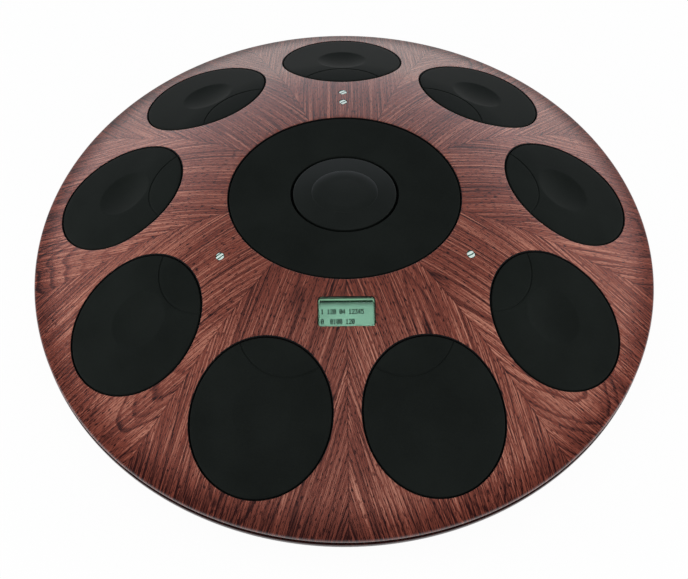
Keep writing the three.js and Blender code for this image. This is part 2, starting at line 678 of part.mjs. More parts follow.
const buttonLow = BUTTON_PROUD - BUTTON_LENGTH;
function powerSwitch() {
  const well = buttonLow - BUTTON_TRAVEL - FIT_GAP;
  const body = block(CONTROL_BODY, CONTROL_BODY, well - CONTROL_BACK, behindPanel);
  return geometryOf(cut(solid(body), solid(round(BUTTON_RADIUS + FIT_GAP, well, OVER))));
}

function powerButton() {
  const [edgeR, edgeZ] = [BUTTON_RADIUS - BUTTON_EDGE, BUTTON_PROUD - BUTTON_EDGE];
  const edge = arc(edgeR, edgeZ, BUTTON_EDGE, 0, Math.PI / 2, ROUND_STEPS);
  const profile = [point(0, buttonLow), point(BUTTON_RADIUS, buttonLow), ...edge, point(0, BUTTON_PROUD)];
  return revolve(profile, SMALL_SIDES);
}

// Inside pieces
function batteryTray() {
  const [w, l] = [BATTERY_WIDTH + 2 * FIT_GAP, BATTERY_LENGTH + 2 * FIT_GAP];
  const low = floorZ + FIT_GAP;
  const outer = block(w + 2 * TRAY_WALL, l + 2 * TRAY_WALL, low, low + TRAY_WALL + TRAY_RIM);
  return geometryOf(cut(solid(outer), solid(block(w, l, low + TRAY_WALL, low + TRAY_RIM + OVER))));
}

// A flat cable: a ribbon of even thickness along a smooth path in the YZ plane
function ribbon(path, width) {
  const curve = new THREE.SplineCurve(path);
  const [left, right] = [[], []];
  for (let i = 0; i <= RIBBON_STEPS; i += 1) {
    const at = curve.getPoint(i / RIBBON_STEPS);
    const along = curve.getTangent(i / RIBBON_STEPS);
    const side = new THREE.Vector2(-along.y, along.x).multiplyScalar(RIBBON_THICK / 2);
    left.push(at.clone().add(side));
    right.unshift(at.clone().sub(side));
  }
  const section = new THREE.Shape([...left, ...right]);
  const form = new THREE.ExtrudeGeometry(section, { depth: width, bevelEnabled: false });
  const toWidth = new THREE.Matrix4().makeBasis(
    new THREE.Vector3(0, 1, 0),
    new THREE.Vector3(0, 0, 1),
    new THREE.Vector3(1, 0, 0),
  );
  return form.applyMatrix4(toWidth).translate(-width / 2, 0, 0);
}

const boardTopZ = boardZ + BOARD_THICK;
function lcdRibbon() {
  const plugY = BOARD_Y - BOARD_LENGTH / 2 + 2 * BOSS_RADIUS;
  const exitZ = lcdBoardTop - BOARD_THICK - FIT_GAP;
  const path = [0, RIBBON_LEAD, RIBBON_DROP].map((depth) => {
    const at = new THREE.Vector3(0, 0, exitZ - depth).applyMatrix4(lcdFrame);
    return point(at.y, at.z);
  });
  const plug = [RIBBON_DROP, RIBBON_LEAD, FIT_GAP].map((height) => point(plugY, boardTopZ + height));
  return ribbon([...path, ...plug], LCD_RIBBON_WIDTH);
}

function ioRibbon() {
  const backY = panelFace + behindPanel - JACK_LENGTH - FIT_GAP;
  const plugY = BOARD_Y + BOARD_LENGTH / 2 - 2 * BOSS_RADIUS;
  const path = [
    point(backY, panelZ),
    point(backY - RIBBON_LEAD, panelZ),
    point((backY + plugY) / 2, panelZ + RIBBON_RISE),
    point(plugY, boardTopZ + RIBBON_LEAD),
    point(plugY, boardTopZ + FIT_GAP),
  ];
  return ribbon(path, IO_RIBBON_WIDTH);
}

// Finishes
function finish(color, roughness, metalness = 0) {
  return new THREE.MeshStandardMaterial({ color, roughness, metalness });
}

const walnut = finish(0x6e3f33, 0.45);
const silicone = finish(0x1a1c1b, 0.75);
const foam = finish(0x3a3a3c, 0.95);
const gasketRubber = finish(0x0e0e0e, 0.8);
const pearl = finish(0xd6e6da, 0.2);
const clearGlass = finish(0xbfe0cf, 0.05);
const lcdGreen = finish(0x83bd9f, 0.4);
const solderMask = finish(0x1d5a34, 0.5);
const batteryWrap = finish(0x2f4a78, 0.4);
const blackPlastic = finish(0x161616, 0.5);
const anodised = finish(0x2a2b2d, 0.4, 0.8);
const nickel = finish(0xb9b7b0, 0.3, 1);
const steel = finish(0x8f9194, 0.35, 1);
const cable = finish(0xb8b9bd, 0.6);

const handpan = new THREE.Group();

function place(name, geometry, material, parent = handpan) {
  const mesh = new THREE.Mesh(geometry, material);
  mesh.name = name;
  parent.add(mesh);
  return mesh;
}

// Shells and seam
place('top_shell', topShell(), walnut);
place('bottom_shell', bottomShell(), walnut);
place('rim_gasket', rimGasket(), gasketRubber);

// Ring of pads, sensors and screws, counted anticlockwise from straight behind the ding
const padForm = tonePad();
const sensorForm = toneSensor();
const screwForm = shellScrew();
for (let i = 0; i < PAD_COUNT; i += 1) {
  const spoke = new THREE.Group();
  spoke.rotation.z = 2 * sidesAngle * i;
  place(`tone_pad_${i + 1}`, padForm, silicone, spoke);
  place(`tone_sensor_${i + 1}`, sensorForm, foam, spoke);
  const between = new THREE.Group();
  between.rotation.z = sidesAngle;
  place(`shell_screw_${i + 1}`, screwForm, steel, between).position.set(0, screwRing, 0);
  spoke.add(between);
  handpan.add(spoke);
}

// Ding
place('ding_shoulder', dingShoulder(), silicone);
place('ding_center', dingCenter(), silicone);
place('ding_shoulder_sensor', dingShoulderSensor(), foam);
place('ding_center_sensor', dingCenterSensor(), foam);

// Inlay dots
const dotForm = round(DOT_RADIUS, -DOT_THICK, 0);
dotFrames.forEach((frame, i) => {
  place(`inlay_dot_${i + 1}`, dotForm, pearl).applyMatrix4(frame);
});

// Display
const display = new THREE.Group();
display.applyMatrix4(lcdFrame);
place('lcd_window', lcdWindow(), clearGlass, display);
place('lcd_module', lcdModule(), lcdGreen, display);
handpan.add(display);
place('lcd_ribbon', lcdRibbon(), cable);

// Feet
const footForm = foot();
corners.forEach(([x, y], i) => {
  place(`foot_${i + 1}`, footForm, gasketRubber).position.set(x * footSpot, y * footSpot, 0);
});

// Sockets and controls
const ports = new THREE.Group();
ports.position.set(0, panelFace, panelZ);
ports.rotation.x = -Math.PI / 2;
place('port_panel', portPanel(), anodised, ports);
const jackForm = jack();
const controlForm = controlBody();
const knobForm = knob();
place('power_switch', powerSwitch(), blackPlastic, ports).position.x = powerX;
place('power_button', powerButton(), nickel, ports).position.x = powerX;
place('usb_socket', usbSocket(), nickel, ports).position.x = usbX;
place('headphone_jack', jackForm, nickel, ports).position.x = headphoneX;
place('line_out_jack', jackForm, nickel, ports).position.x = lineX;
place('preset_encoder', controlForm, nickel, ports).position.x = presetX;
place('preset_knob', knobForm, blackPlastic, ports).position.x = presetX;
place('volume_pot', controlForm, nickel, ports).position.x = volumeX;
place('volume_knob', knobForm, blackPlastic, ports).position.x = volumeX;
handpan.add(ports);
place('io_ribbon', ioRibbon(), cable);

// Board and battery
place('main_board', block(BOARD_WIDTH, BOARD_LENGTH, boardZ, boardTopZ), solderMask).position.y = BOARD_Y;
place('battery_tray', batteryTray(), blackPlastic).position.y = BATTERY_Y;
const batteryLow = floorZ + TRAY_WALL + 2 * FIT_GAP;
const batteryForm = block(BATTERY_WIDTH, BATTERY_LENGTH, batteryLow, batteryLow + BATTERY_HEIGHT);
place('battery_pack', batteryForm, batteryWrap).position.y = BATTERY_Y;

export default handpan;
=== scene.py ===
"""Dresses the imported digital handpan: turned walnut shells, moulded silicone pads, a small display, and the
sockets and controls in the bay under its rear edge. Lengths are in metres, in the part's own frame: +Z is up,
the floor is at 0 and the player sits on the -Y side."""

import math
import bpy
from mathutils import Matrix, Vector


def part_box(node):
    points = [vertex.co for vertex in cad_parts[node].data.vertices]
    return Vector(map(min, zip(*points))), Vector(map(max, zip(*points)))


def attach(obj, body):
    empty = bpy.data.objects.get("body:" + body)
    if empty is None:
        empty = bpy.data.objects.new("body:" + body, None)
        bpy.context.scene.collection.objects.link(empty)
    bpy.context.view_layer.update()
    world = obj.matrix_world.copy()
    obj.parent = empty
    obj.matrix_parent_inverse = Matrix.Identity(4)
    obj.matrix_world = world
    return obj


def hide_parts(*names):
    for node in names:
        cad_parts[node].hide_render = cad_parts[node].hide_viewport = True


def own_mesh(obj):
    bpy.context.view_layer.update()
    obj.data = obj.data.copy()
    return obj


bl_info = {
    "name": "Digital handpan",
    "version": (1, 0, 0),
    "blender": (4, 5, 0),
    "location": "3D View > Sidebar > Handpan",
    "description": "Builds the visible pieces of a digital handpan on its packed frame",
    "category": "Object",
}

from functools import cache, partial
from itertools import pairwise

import bmesh
import bpy
from mathutils import Matrix, Vector

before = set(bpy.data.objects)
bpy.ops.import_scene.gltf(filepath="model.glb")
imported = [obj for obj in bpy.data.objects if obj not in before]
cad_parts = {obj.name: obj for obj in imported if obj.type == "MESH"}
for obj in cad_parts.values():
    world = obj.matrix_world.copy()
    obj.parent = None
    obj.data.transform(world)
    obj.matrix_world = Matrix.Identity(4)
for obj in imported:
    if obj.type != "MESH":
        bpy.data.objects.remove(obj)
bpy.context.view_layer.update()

MM = 0.001
QUARTER = math.pi / 2
PADS = 9
PAD_STEP = math.tau / PADS
FIRST_SCREW = QUARTER + PAD_STEP / 2
FEET = 4
FIRST_FOOT = math.pi / FEET
DOTS = 4

# The photograph's frame and the focal length that fits it, in pixels
PHOTO_WIDTH = 688
FOCAL_PIXELS = 1184.9


def linear(code):
    """Linear RGB of an sRGB hex colour."""
    channels = [int(code[i : i + 2], 16) / 255 for i in (1, 3, 5)]
    return [c / 12.92 if c <= 0.04045 else ((c + 0.055) / 1.055) ** 2.4 for c in channels]


# Kinds of property


def length(name, description, millimetres):
    """A length property, in metres."""
    return bpy.props.FloatProperty(
        name=name, description=description, default=millimetres * MM, unit="LENGTH", precision=5
    )


def angle(name, description, degrees):
    """An angle property."""
    return bpy.props.FloatProperty(
        name=name, description=description, default=math.radians(degrees), subtype="ANGLE"
    )


def colour(name, description, code):
    """A colour property from an sRGB hex value."""
    return bpy.props.FloatVectorProperty(
        name=name, description=description, default=linear(code), subtype="COLOR", min=0, max=1
    )


def number(name, description, value):
    """A property without a unit."""
    return bpy.props.FloatProperty(name=name, description=description, default=value)


class HandpanShells(bpy.types.PropertyGroup):
    """Sizes of the two wooden shells."""

    radius: length("Radius", "Half of the body's width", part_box("top_shell")[1].x / MM)
    crown_height: length("Crown height", "Height of the dome's top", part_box("ding_shoulder")[1].z / MM)
    crown_radius: length("Crown radius", "Radius of the flat crown", 52.5)
    blend_radius: length("Blend radius", "Radius of the bend between crown and flank", 251)
    flank_angle: angle("Flank angle", "Slope of the dome's flank", 29)
    rim_round: length("Rim round", "Radius of the top shell's rim", 2)
    edge_break: length("Edge break", "Rounding of the edges at the seam", 0.5)
    pocket_edge: length("Pocket edge", "Rounding of the wood round each pad", 0.9)
    pocket_depth: length("Pocket depth", "Depth of the pockets for the pads", 9.1)
    wall: length("Wall", "Thickness of the top shell", 16)
    rim_wall: length("Rim wall", "Thickness of the body's rim", 34)
    seam_height: length("Seam height", "Height of the top shell's lower edge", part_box("top_shell")[0].z / MM)
    bowl_height: length("Bowl height", "Height of the bottom shell's rim", 46)
    bowl_step: length("Bowl step", "Radius of the step inside the gasket", 244.7)
    bowl_round: length("Bowl round", "Radius of the bottom shell's rim", 8)
    bowl_land: length("Bowl land", "Upright edge over the bottom shell's round", 1.5)
    bowl_angle: angle("Bowl angle", "Slope of the bottom shell's side", 29)
    bowl_wall: length("Bowl wall", "Thickness of the bottom shell's side", 16)
    base_height: length("Base height", "Height of the flat base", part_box("bottom_shell")[0].z / MM)
    base_wall: length("Base wall", "Thickness of the base", 8)
    base_round: length("Base round", "Rounding between base and side", 6)
    bay_width: length("Bay width", "Width of the bay for the sockets", 124)
    bay_back: length("Bay back", "Distance of the bay's back wall from the middle", 212)
    bay_top: length("Bay top", "Height of the bay's ceiling", 40)
    bay_wall: length("Bay wall", "Thickness of the wood round the bay", 6)
    screw_ring: length("Screw ring", "Radius of the ring of screws", 238)
    screw_seat: length("Screw seat", "Height that the screw heads bear on", 33)


class HandpanPads(bpy.types.PropertyGroup):
    """Sizes of the silicone pads and the sensors under them."""

    ring: length("Ring", "Distance of the tone pads from the middle", 189.01)
    radius: length("Radius", "Radius of a tone pad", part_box("tone_pad_1")[1].x / MM)
    gap: length("Gap", "Gap between a pad and its pocket", 0.9)
    thickness: length("Thickness", "Thickness of a pad", 6.5)
    edge: length("Edge", "Rounding of a pad's edge", 1.2)
    dimple_radius: length("Dimple radius", "Radius of the dimple", 21.8)
    dimple_depth: length("Dimple depth", "Depth of the dimple", 3.8)
    dimple_inset: length("Dimple inset", "How far the dimple lies towards the ding", 3)
    dimple_lip: length("Dimple lip", "Softness of the dimple's lip", 0.4)
    arc_radius: length("Arc radius", "Radius of the arc groove", 40)
    arc_clear: length("Arc clear", "Gap between dimple and arc groove", 2.8)
    arc_width: length("Arc width", "Width of the arc groove", 1.4)
    arc_depth: length("Arc depth", "Depth of the arc groove", 0.6)
    ding_x: length("Ding half width", "Half width of the ding's pocket", 92.8)
    ding_y: length("Ding half length", "Half length of the ding's pocket", 81.6)
    center_x: length("Center half width", "Half width of the hole in the ding's ring", 43)
    center_y: length("Center half length", "Half length of the hole in the ding's ring", 38.5)
    center_gap: length("Center gap", "Gap between the ding's ring and its middle", 1.9)
    center_crown: length("Center crown", "How far the ding's middle pad is crowned", 2.2)
    cap_x: length("Cap half width", "Half width of the raised cap", 26.3)
    cap_y: length("Cap half length", "Half length of the raised cap", 21.7)
    cap_height: length("Cap height", "Height of the raised cap over the ding's edge", 3)
    cap_edge: length("Cap edge", "Width of the cap's rounded shoulder", 11)
    sensor_thickness: length("Sensor thickness", "Thickness of a foam sensor", 2)
    sensor_inset: length("Sensor inset", "How far a sensor stays inside its pad", 8)
    sensor_gap: length("Sensor gap", "Gap between pad and sensor", 0.3)
    travel: length("Travel", "How far a pad is pressed in", 0.8)


class HandpanFinish(bpy.types.PropertyGroup):
    """Colours of the finishes."""

    walnut_dark: colour("Walnut dark", "Late wood and pores", "#2A1110")
    walnut_mid: colour("Walnut", "Body of the wood", "#7B3F32")
    walnut_light: colour("Walnut light", "Early wood", "#C68771")
    silicone: colour("Silicone", "Pads", "#1A1D1B")
    shell: colour("Shell", "Inlay dots", "#DDEBE2")
    shell_dark: colour("Shell stripes", "Dark stripes of the inlay dots", "#2F5A4E")
    display: colour("Display", "Lit part of the display", "#789D8B")
    # Paler lower glass of the contact strip and border, in part a painted highlight of the glass edge
    display_edge: colour("Display edge", "Contact strip of the display", "#8FB499")
    display_seal: colour("Display seal", "Dark line of the display's seal", "#0B2417")
    display_ink: colour("Display ink", "Dots that the display shows", "#081B15")
    floor: colour("Floor", "Studio floor", "#F7F7F6")


class HandpanStage(bpy.types.PropertyGroup):
    """Camera and light."""

    distance: length("Camera distance", "Distance of the camera from the crown", 942.6)
    elevation: angle("Camera elevation", "Height of the camera over the horizon", 50.976)
    azimuth: angle("Camera azimuth", "Turn of the camera about the object", -0.999)
    pitch: angle("Camera pitch", "Tilt of the camera off the crown", 4.665)
    yaw: angle("Camera yaw", "Sideways turn of the camera off the crown", -0.007)
    roll: angle("Camera roll", "Turn of the camera about its line of sight", -0.311)
    horizon: number("Horizon", "Brightness of the studio near the horizon", 1.2)
    zenith: number("Zenith", "Brightness of the studio overhead", 0.12)
    lamp: number("Lamp", "Power of the lamp overhead, in watts", 12.0)
    strip: number("Strip lamps", "Power of each strip lamp at the sides, in watts", 11.0)


# Meshes: a part is a list of corners and a list of faces


def mix(a, b, share):
    """A value between two others."""
    return a + (b - a) * share


def spread(start, end, steps):
    """Evenly spaced values from start to end."""
    return [start + (end - start) * i / steps for i in range(steps + 1)]


def arc(center_r, center_z, radius, start, end, steps):
    """Points (r, z) of a profile on an arc, with angles in radians."""
    turns = spread(start, end, steps)
    return [(center_r + radius * math.cos(t), center_z + radius * math.sin(t)) for t in turns]


def oval(half_x, half_y, z, count, middle=(0, 0)):
    """A ring of points on an oval."""
    turns = spread(0, math.tau, count)[:-1]
    return [(middle[0] + half_x * math.cos(t), middle[1] + half_y * math.sin(t), z) for t in turns]


def shaped(reach, z, count):
    """A ring of points whose distance from the axis follows from their turn."""
    turns = spread(0, math.tau, count)[:-1]
    return [(reach(t) * math.cos(t), reach(t) * math.sin(t), z) for t in turns]


def rounded(width, height, corner, z, count, middle=(0, 0)):
    """A ring of points on a rectangle with round corners."""
    points = []
    for side, (x, y) in enumerate(((1, 1), (-1, 1), (-1, -1), (1, -1))):
        for turn in spread(QUARTER * side, QUARTER * (side + 1), count // 4 - 1):
            points.append((
                middle[0] + x * (width / 2 - corner) + corner * math.cos(turn),
                middle[1] + y * (height / 2 - corner) + corner * math.sin(turn),
                z,
            ))
    return points


def loft(rings, cyclic=False):
    """The skin over rings of points; a ring of one point is a pole, and an open end gets a flat face."""
    corners = [point for ring in rings for point in ring]
    starts = [sum(len(ring) for ring in rings[:i]) for i in range(len(rings))]
    faces = []
    strips = list(pairwise(range(len(rings))))
    if cyclic:
        strips.append((len(rings) - 1, 0))
    for a, b in strips:
        count = max(len(rings[a]), len(rings[b]))
        for i in range(count):
            j = (i + 1) % count
            low = [starts[a]] if len(rings[a]) == 1 else [starts[a] + i, starts[a] + j]
            high = [starts[b]] if len(rings[b]) == 1 else [starts[b] + j, starts[b] + i]
            faces.append(low + high)
    for end in () if cyclic else (0, len(rings) - 1):
        if len(rings[end]) > 1:
            faces.append([starts[end] + i for i in range(len(rings[end]))])
    return corners, faces


def revolve(profile, count, cyclic=False):
    """A turned part from points (r, z)."""
    return loft([[(0, 0, z)] if r == 0 else oval(r, r, z, count) for r, z in profile], cyclic)


def turned(profile, count):
    """A turned part from points (r, z) in millimetres."""
    return revolve([(r * MM, z * MM) for r, z in profile], count)


def rod(r, low, high, count):
    """A plain round rod, in millimetres."""
    return turned([(0, low), (r, low), (r, high), (0, high)], count)


def ovals(rows, top, bottom, count, middle=(0, 0)):
    """An oval part from rows of half width, half length and height, between a top and a bottom point."""
    rings = [oval(half_x, half_y, z, count, middle) for half_x, half_y, z in rows]
    return loft([[(*middle, top)], *rings, [(*middle, bottom)]])


def plate(width, height, corner, levels, count=16, middle=(0, 0)):
    """A plate with round corners, between levels."""
    return loft([rounded(width, height, corner, z, count, middle) for z in levels])


def moved(part, matrix):
    """A part in another place."""
    return [tuple(matrix @ Vector(point)) for point in part[0]], part[1]


def together(*parts):
    """Several parts as one."""
    corners, faces = [], []
    for part in parts:
        faces.extend([[index + len(corners) for index in face] for face in part[1]])
        corners.extend(part[0])
    return corners, faces


def round_the_body(part, count, ring=0.0, first=0.0):
    """Copies of a part at even steps on a ring round the body's axis, as one part."""
    out = moved(part, Matrix.Translation((ring, 0, 0)))
    step = math.tau / count
    return together(*[moved(out, Matrix.Rotation(first + step * i, 4, "Z")) for i in range(count)])


def shade(mesh):
    """Smooth shading that breaks at real edges."""
    mesh.shade_smooth()
    mesh.set_sharp_from_angle(angle=math.radians(38))


def make(name, part, material=None):
    """A mesh object of a part, with its faces turned outwards."""
    mesh = bpy.data.meshes.new(name)
    mesh.from_pydata(part[0], [], part[1])
    form = bmesh.new()
    form.from_mesh(mesh)
    bmesh.ops.recalc_face_normals(form, faces=form.faces)
    form.to_mesh(mesh)
    form.free()
    shade(mesh)
    if material:
        mesh.materials.append(material)
    piece = bpy.data.objects.new(name, mesh)
    bpy.context.scene.collection.objects.link(piece)
    return piece


def plain(piece):
    """Makes what the modifiers give the piece's own mesh, and removes them."""
    graph = bpy.context.evaluated_depsgraph_get()
    mesh = bpy.data.meshes.new_from_object(piece.evaluated_get(graph), depsgraph=graph)
    if not mesh.polygons:
        raise RuntimeError(f"{piece.name} came out empty")
    old = piece.data
    piece.modifiers.clear()
    piece.data = mesh
    bpy.data.meshes.remove(old)
    mesh.name = piece.name
    shade(mesh)
    return piece


def cut(piece, part):
    """Takes a part's form, or that of a finished cutter, out of a piece."""
    cutter = make("cutter", part) if isinstance(part, tuple) else part
    modifier = piece.modifiers.new("cut", "BOOLEAN")
    modifier.operation = "DIFFERENCE"
    modifier.solver = "MANIFOLD"
    modifier.object = cutter
    plain(piece)
    spare = cutter.data
    bpy.data.objects.remove(cutter)
    bpy.data.meshes.remove(spare)
    return piece


def settle(piece, body, slot, *nodes):
    """Puts a finished piece on its body, in place of the nodes that it stands for."""
    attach(piece, body)
    if nodes:
        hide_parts(*nodes)
    return piece


def fit(name, part, place, material, body, slot, *nodes):
    """Makes a piece in its place and settles it."""
    return settle(make(name, moved(part, place), material), body, slot, *nodes)


# Nodes. Inputs given as a row are in the node's own order: Map Range takes a value, then the range that it
# comes from and the range that it goes to.

MATH, VECTOR = "ShaderNodeMath", "ShaderNodeVectorMath"
RANGE, RAMP = "ShaderNodeMapRange", "ShaderNodeValToRGB"
SPLIT, JOIN, PLACE = "ShaderNodeSeparateXYZ", "ShaderNodeCombineXYZ", "ShaderNodeTexCoord"
NOISE, CHANCE, BUMP = "ShaderNodeTexNoise", "ShaderNodeTexWhiteNoise", "ShaderNodeBump"


def feed(tree, made, inputs):
    """Links or sets the inputs of a node."""
    for key, value in inputs.items() if isinstance(inputs, dict) else enumerate(inputs):
        if isinstance(value, bpy.types.Node):
            value = next(output for output in value.outputs if output.enabled)
        if isinstance(value, bpy.types.NodeSocket):
            tree.links.new(value, made.inputs[key])
        else:
            made.inputs[key].default_value = value


def node(tree, kind, inputs=(), operation=None, stops=(), **settings):
    """Adds a node with its settings, ramp stops and inputs."""
    made = tree.nodes.new(kind)
    if operation:
        made.operation = operation
    for key, value in settings.items():
        setattr(made, key, value)
    for at, (position, tone) in enumerate(stops):
        elements = made.color_ramp.elements
        stop = elements[at] if at < len(elements) else elements.new(position)
        stop.position = position
        stop.color = (*tone, 1)
    feed(tree, made, inputs)
    return made


def geometry_tree(name, inputs):
    """A Geometry Nodes tree with named inputs; returns it with what adds its nodes and its input sockets."""
    tree = bpy.data.node_groups.new(name, "GeometryNodeTree")
    for label, kind in (("Geometry", "Geometry"), *inputs.items(), ("Material", "Material")):
        tree.interface.new_socket(label, in_out="INPUT", socket_type=f"NodeSocket{kind}")
    tree.interface.new_socket("Geometry", in_out="OUTPUT", socket_type="NodeSocketGeometry")
    add = partial(node, tree)
    return tree, add, add("NodeGroupInput").outputs


def close_tree(tree, shape, material):
    """Ends a tree: instances made real, and the material set."""
    real = node(tree, "GeometryNodeRealizeInstances", {"Geometry": shape})
    coated = node(tree, "GeometryNodeSetMaterial", {"Geometry": real, "Material": material})
    node(tree, "NodeGroupOutput", {"Geometry": coated})
    return tree


def grow(piece, tree, values):
    """Runs a tree on a piece, with its inputs set by name, and keeps the result as a plain mesh."""
    modifier = piece.modifiers.new(tree.name, "NODES")
    modifier.node_group = tree
    values = {**values, "Material": next(iter(piece.data.materials), None)}
    for item in tree.interface.items_tree:
        if item.in_out == "INPUT" and item.name in values:
            modifier[item.identifier] = values[item.name]
    return plain(piece)


@cache
def follow_dome():
    """Turns a flat form about the body's axis and lays it on the dome, whose flat crown bends and runs out
    in a straight flank."""
    sizes = ("Bearing", "Crown Height", "Crown Radius", "Blend Radius", "Flank Angle")
    tree, add, given = geometry_tree("follow_dome", dict.fromkeys(sizes, "Float"))
    blend, flank = given["Blend Radius"], given["Flank Angle"]
    turn = add("FunctionNodeAxisAngleToRotation", {"Axis": (0, 0, 1), "Angle": given["Bearing"]})
    on_bearing = add("GeometryNodeTransform", {"Geometry": given["Geometry"], "Rotation": turn})
    place = add(SPLIT, (add("GeometryNodeInputPosition"),)).outputs
    flat = add(JOIN, (place["X"], place["Y"]))
    radius = add(VECTOR, (flat,), "LENGTH").outputs["Value"]
    past = add(MATH, (radius, given["Crown Radius"]), "SUBTRACT")
    share = add(MATH, (past, blend), "DIVIDE")
    steepest = add(MATH, (flank,), "SINE")
    sine = add("ShaderNodeClamp", {"Value": share, "Min": 0.0, "Max": steepest})
    square = add(MATH, (sine, 2.0), "POWER")
    rest = add(MATH, (1.0, square), "SUBTRACT")
    cosine = add(MATH, (rest,), "SQRT")
    fall = add(MATH, (1.0, cosine), "SUBTRACT")
    bend = add(MATH, (fall, blend), "MULTIPLY")
    reach = add(MATH, (steepest, blend), "MULTIPLY")
    over = add(MATH, (past, reach), "SUBTRACT")
    outside = add(MATH, (over, 0.0), "MAXIMUM")
    slope = add(MATH, (flank,), "TANGENT")
    drop = add(MATH, (outside, slope, bend), "MULTIPLY_ADD")
    height = add(MATH, (given["Crown Height"], drop), "SUBTRACT")
    lift = add(JOIN, {"Z": height})
    laid = add("GeometryNodeSetPosition", {"Geometry": on_bearing, "Offset": lift})
    return close_tree(tree, laid, given["Material"])


@cache
def copies_round_ring():
    """Copies of a form on a ring, each turned with its place."""
    tree, add, given = geometry_tree(
        "copies_round_ring", {"Count": "Int", "Radius": "Float", "First Angle": "Float", "Step": "Float"}
    )
    index = add("GeometryNodeInputIndex")
    bearing = add(MATH, (index, given["Step"], given["First Angle"]), "MULTIPLY_ADD")
    unit = add(JOIN, [add(MATH, (bearing,), axis) for axis in ("COSINE", "SINE")])
    spot = add(VECTOR, {0: unit, "Scale": given["Radius"]}, "SCALE")
    points = add("GeometryNodePoints", {"Count": given["Count"], "Position": spot})
    turn = add("FunctionNodeAxisAngleToRotation", {"Axis": (0, 0, 1), "Angle": bearing})
    made = {"Points": points, "Instance": given["Geometry"], "Rotation": turn}
    return close_tree(tree, add("GeometryNodeInstanceOnPoints", made), given["Material"])


@cache
def display_dots():
    """A small plate on each point: the dots of a display."""
    tree, add, given = geometry_tree("display_dots", {"Dot Size": "Vector"})
    dot = add("GeometryNodeMeshCube", {"Size": given["Dot Size"]})
    dots = add("GeometryNodeInstanceOnPoints", {"Points": given["Geometry"], "Instance": dot})
    return close_tree(tree, dots, given["Material"])


def on_ring(piece, count, radius, first, step):
    """Copies a piece round a ring."""
    ring = {"Count": count, "Radius": radius, "First Angle": first, "Step": step}
    return grow(piece, copies_round_ring(), ring)


# Finishes


def blank(name):
    """A new material; returns it with what adds its nodes."""
    material = bpy.data.materials.new(name)
    material.use_nodes = True
    return material, partial(node, material.node_tree)


def dressed(material, inputs):
    """Feeds a material's shader, and returns the material."""
    feed(material.node_tree, material.node_tree.nodes["Principled BSDF"], inputs)
    return material


def finish():
    """The colours that the user may change."""
    return bpy.context.scene.handpan_finish


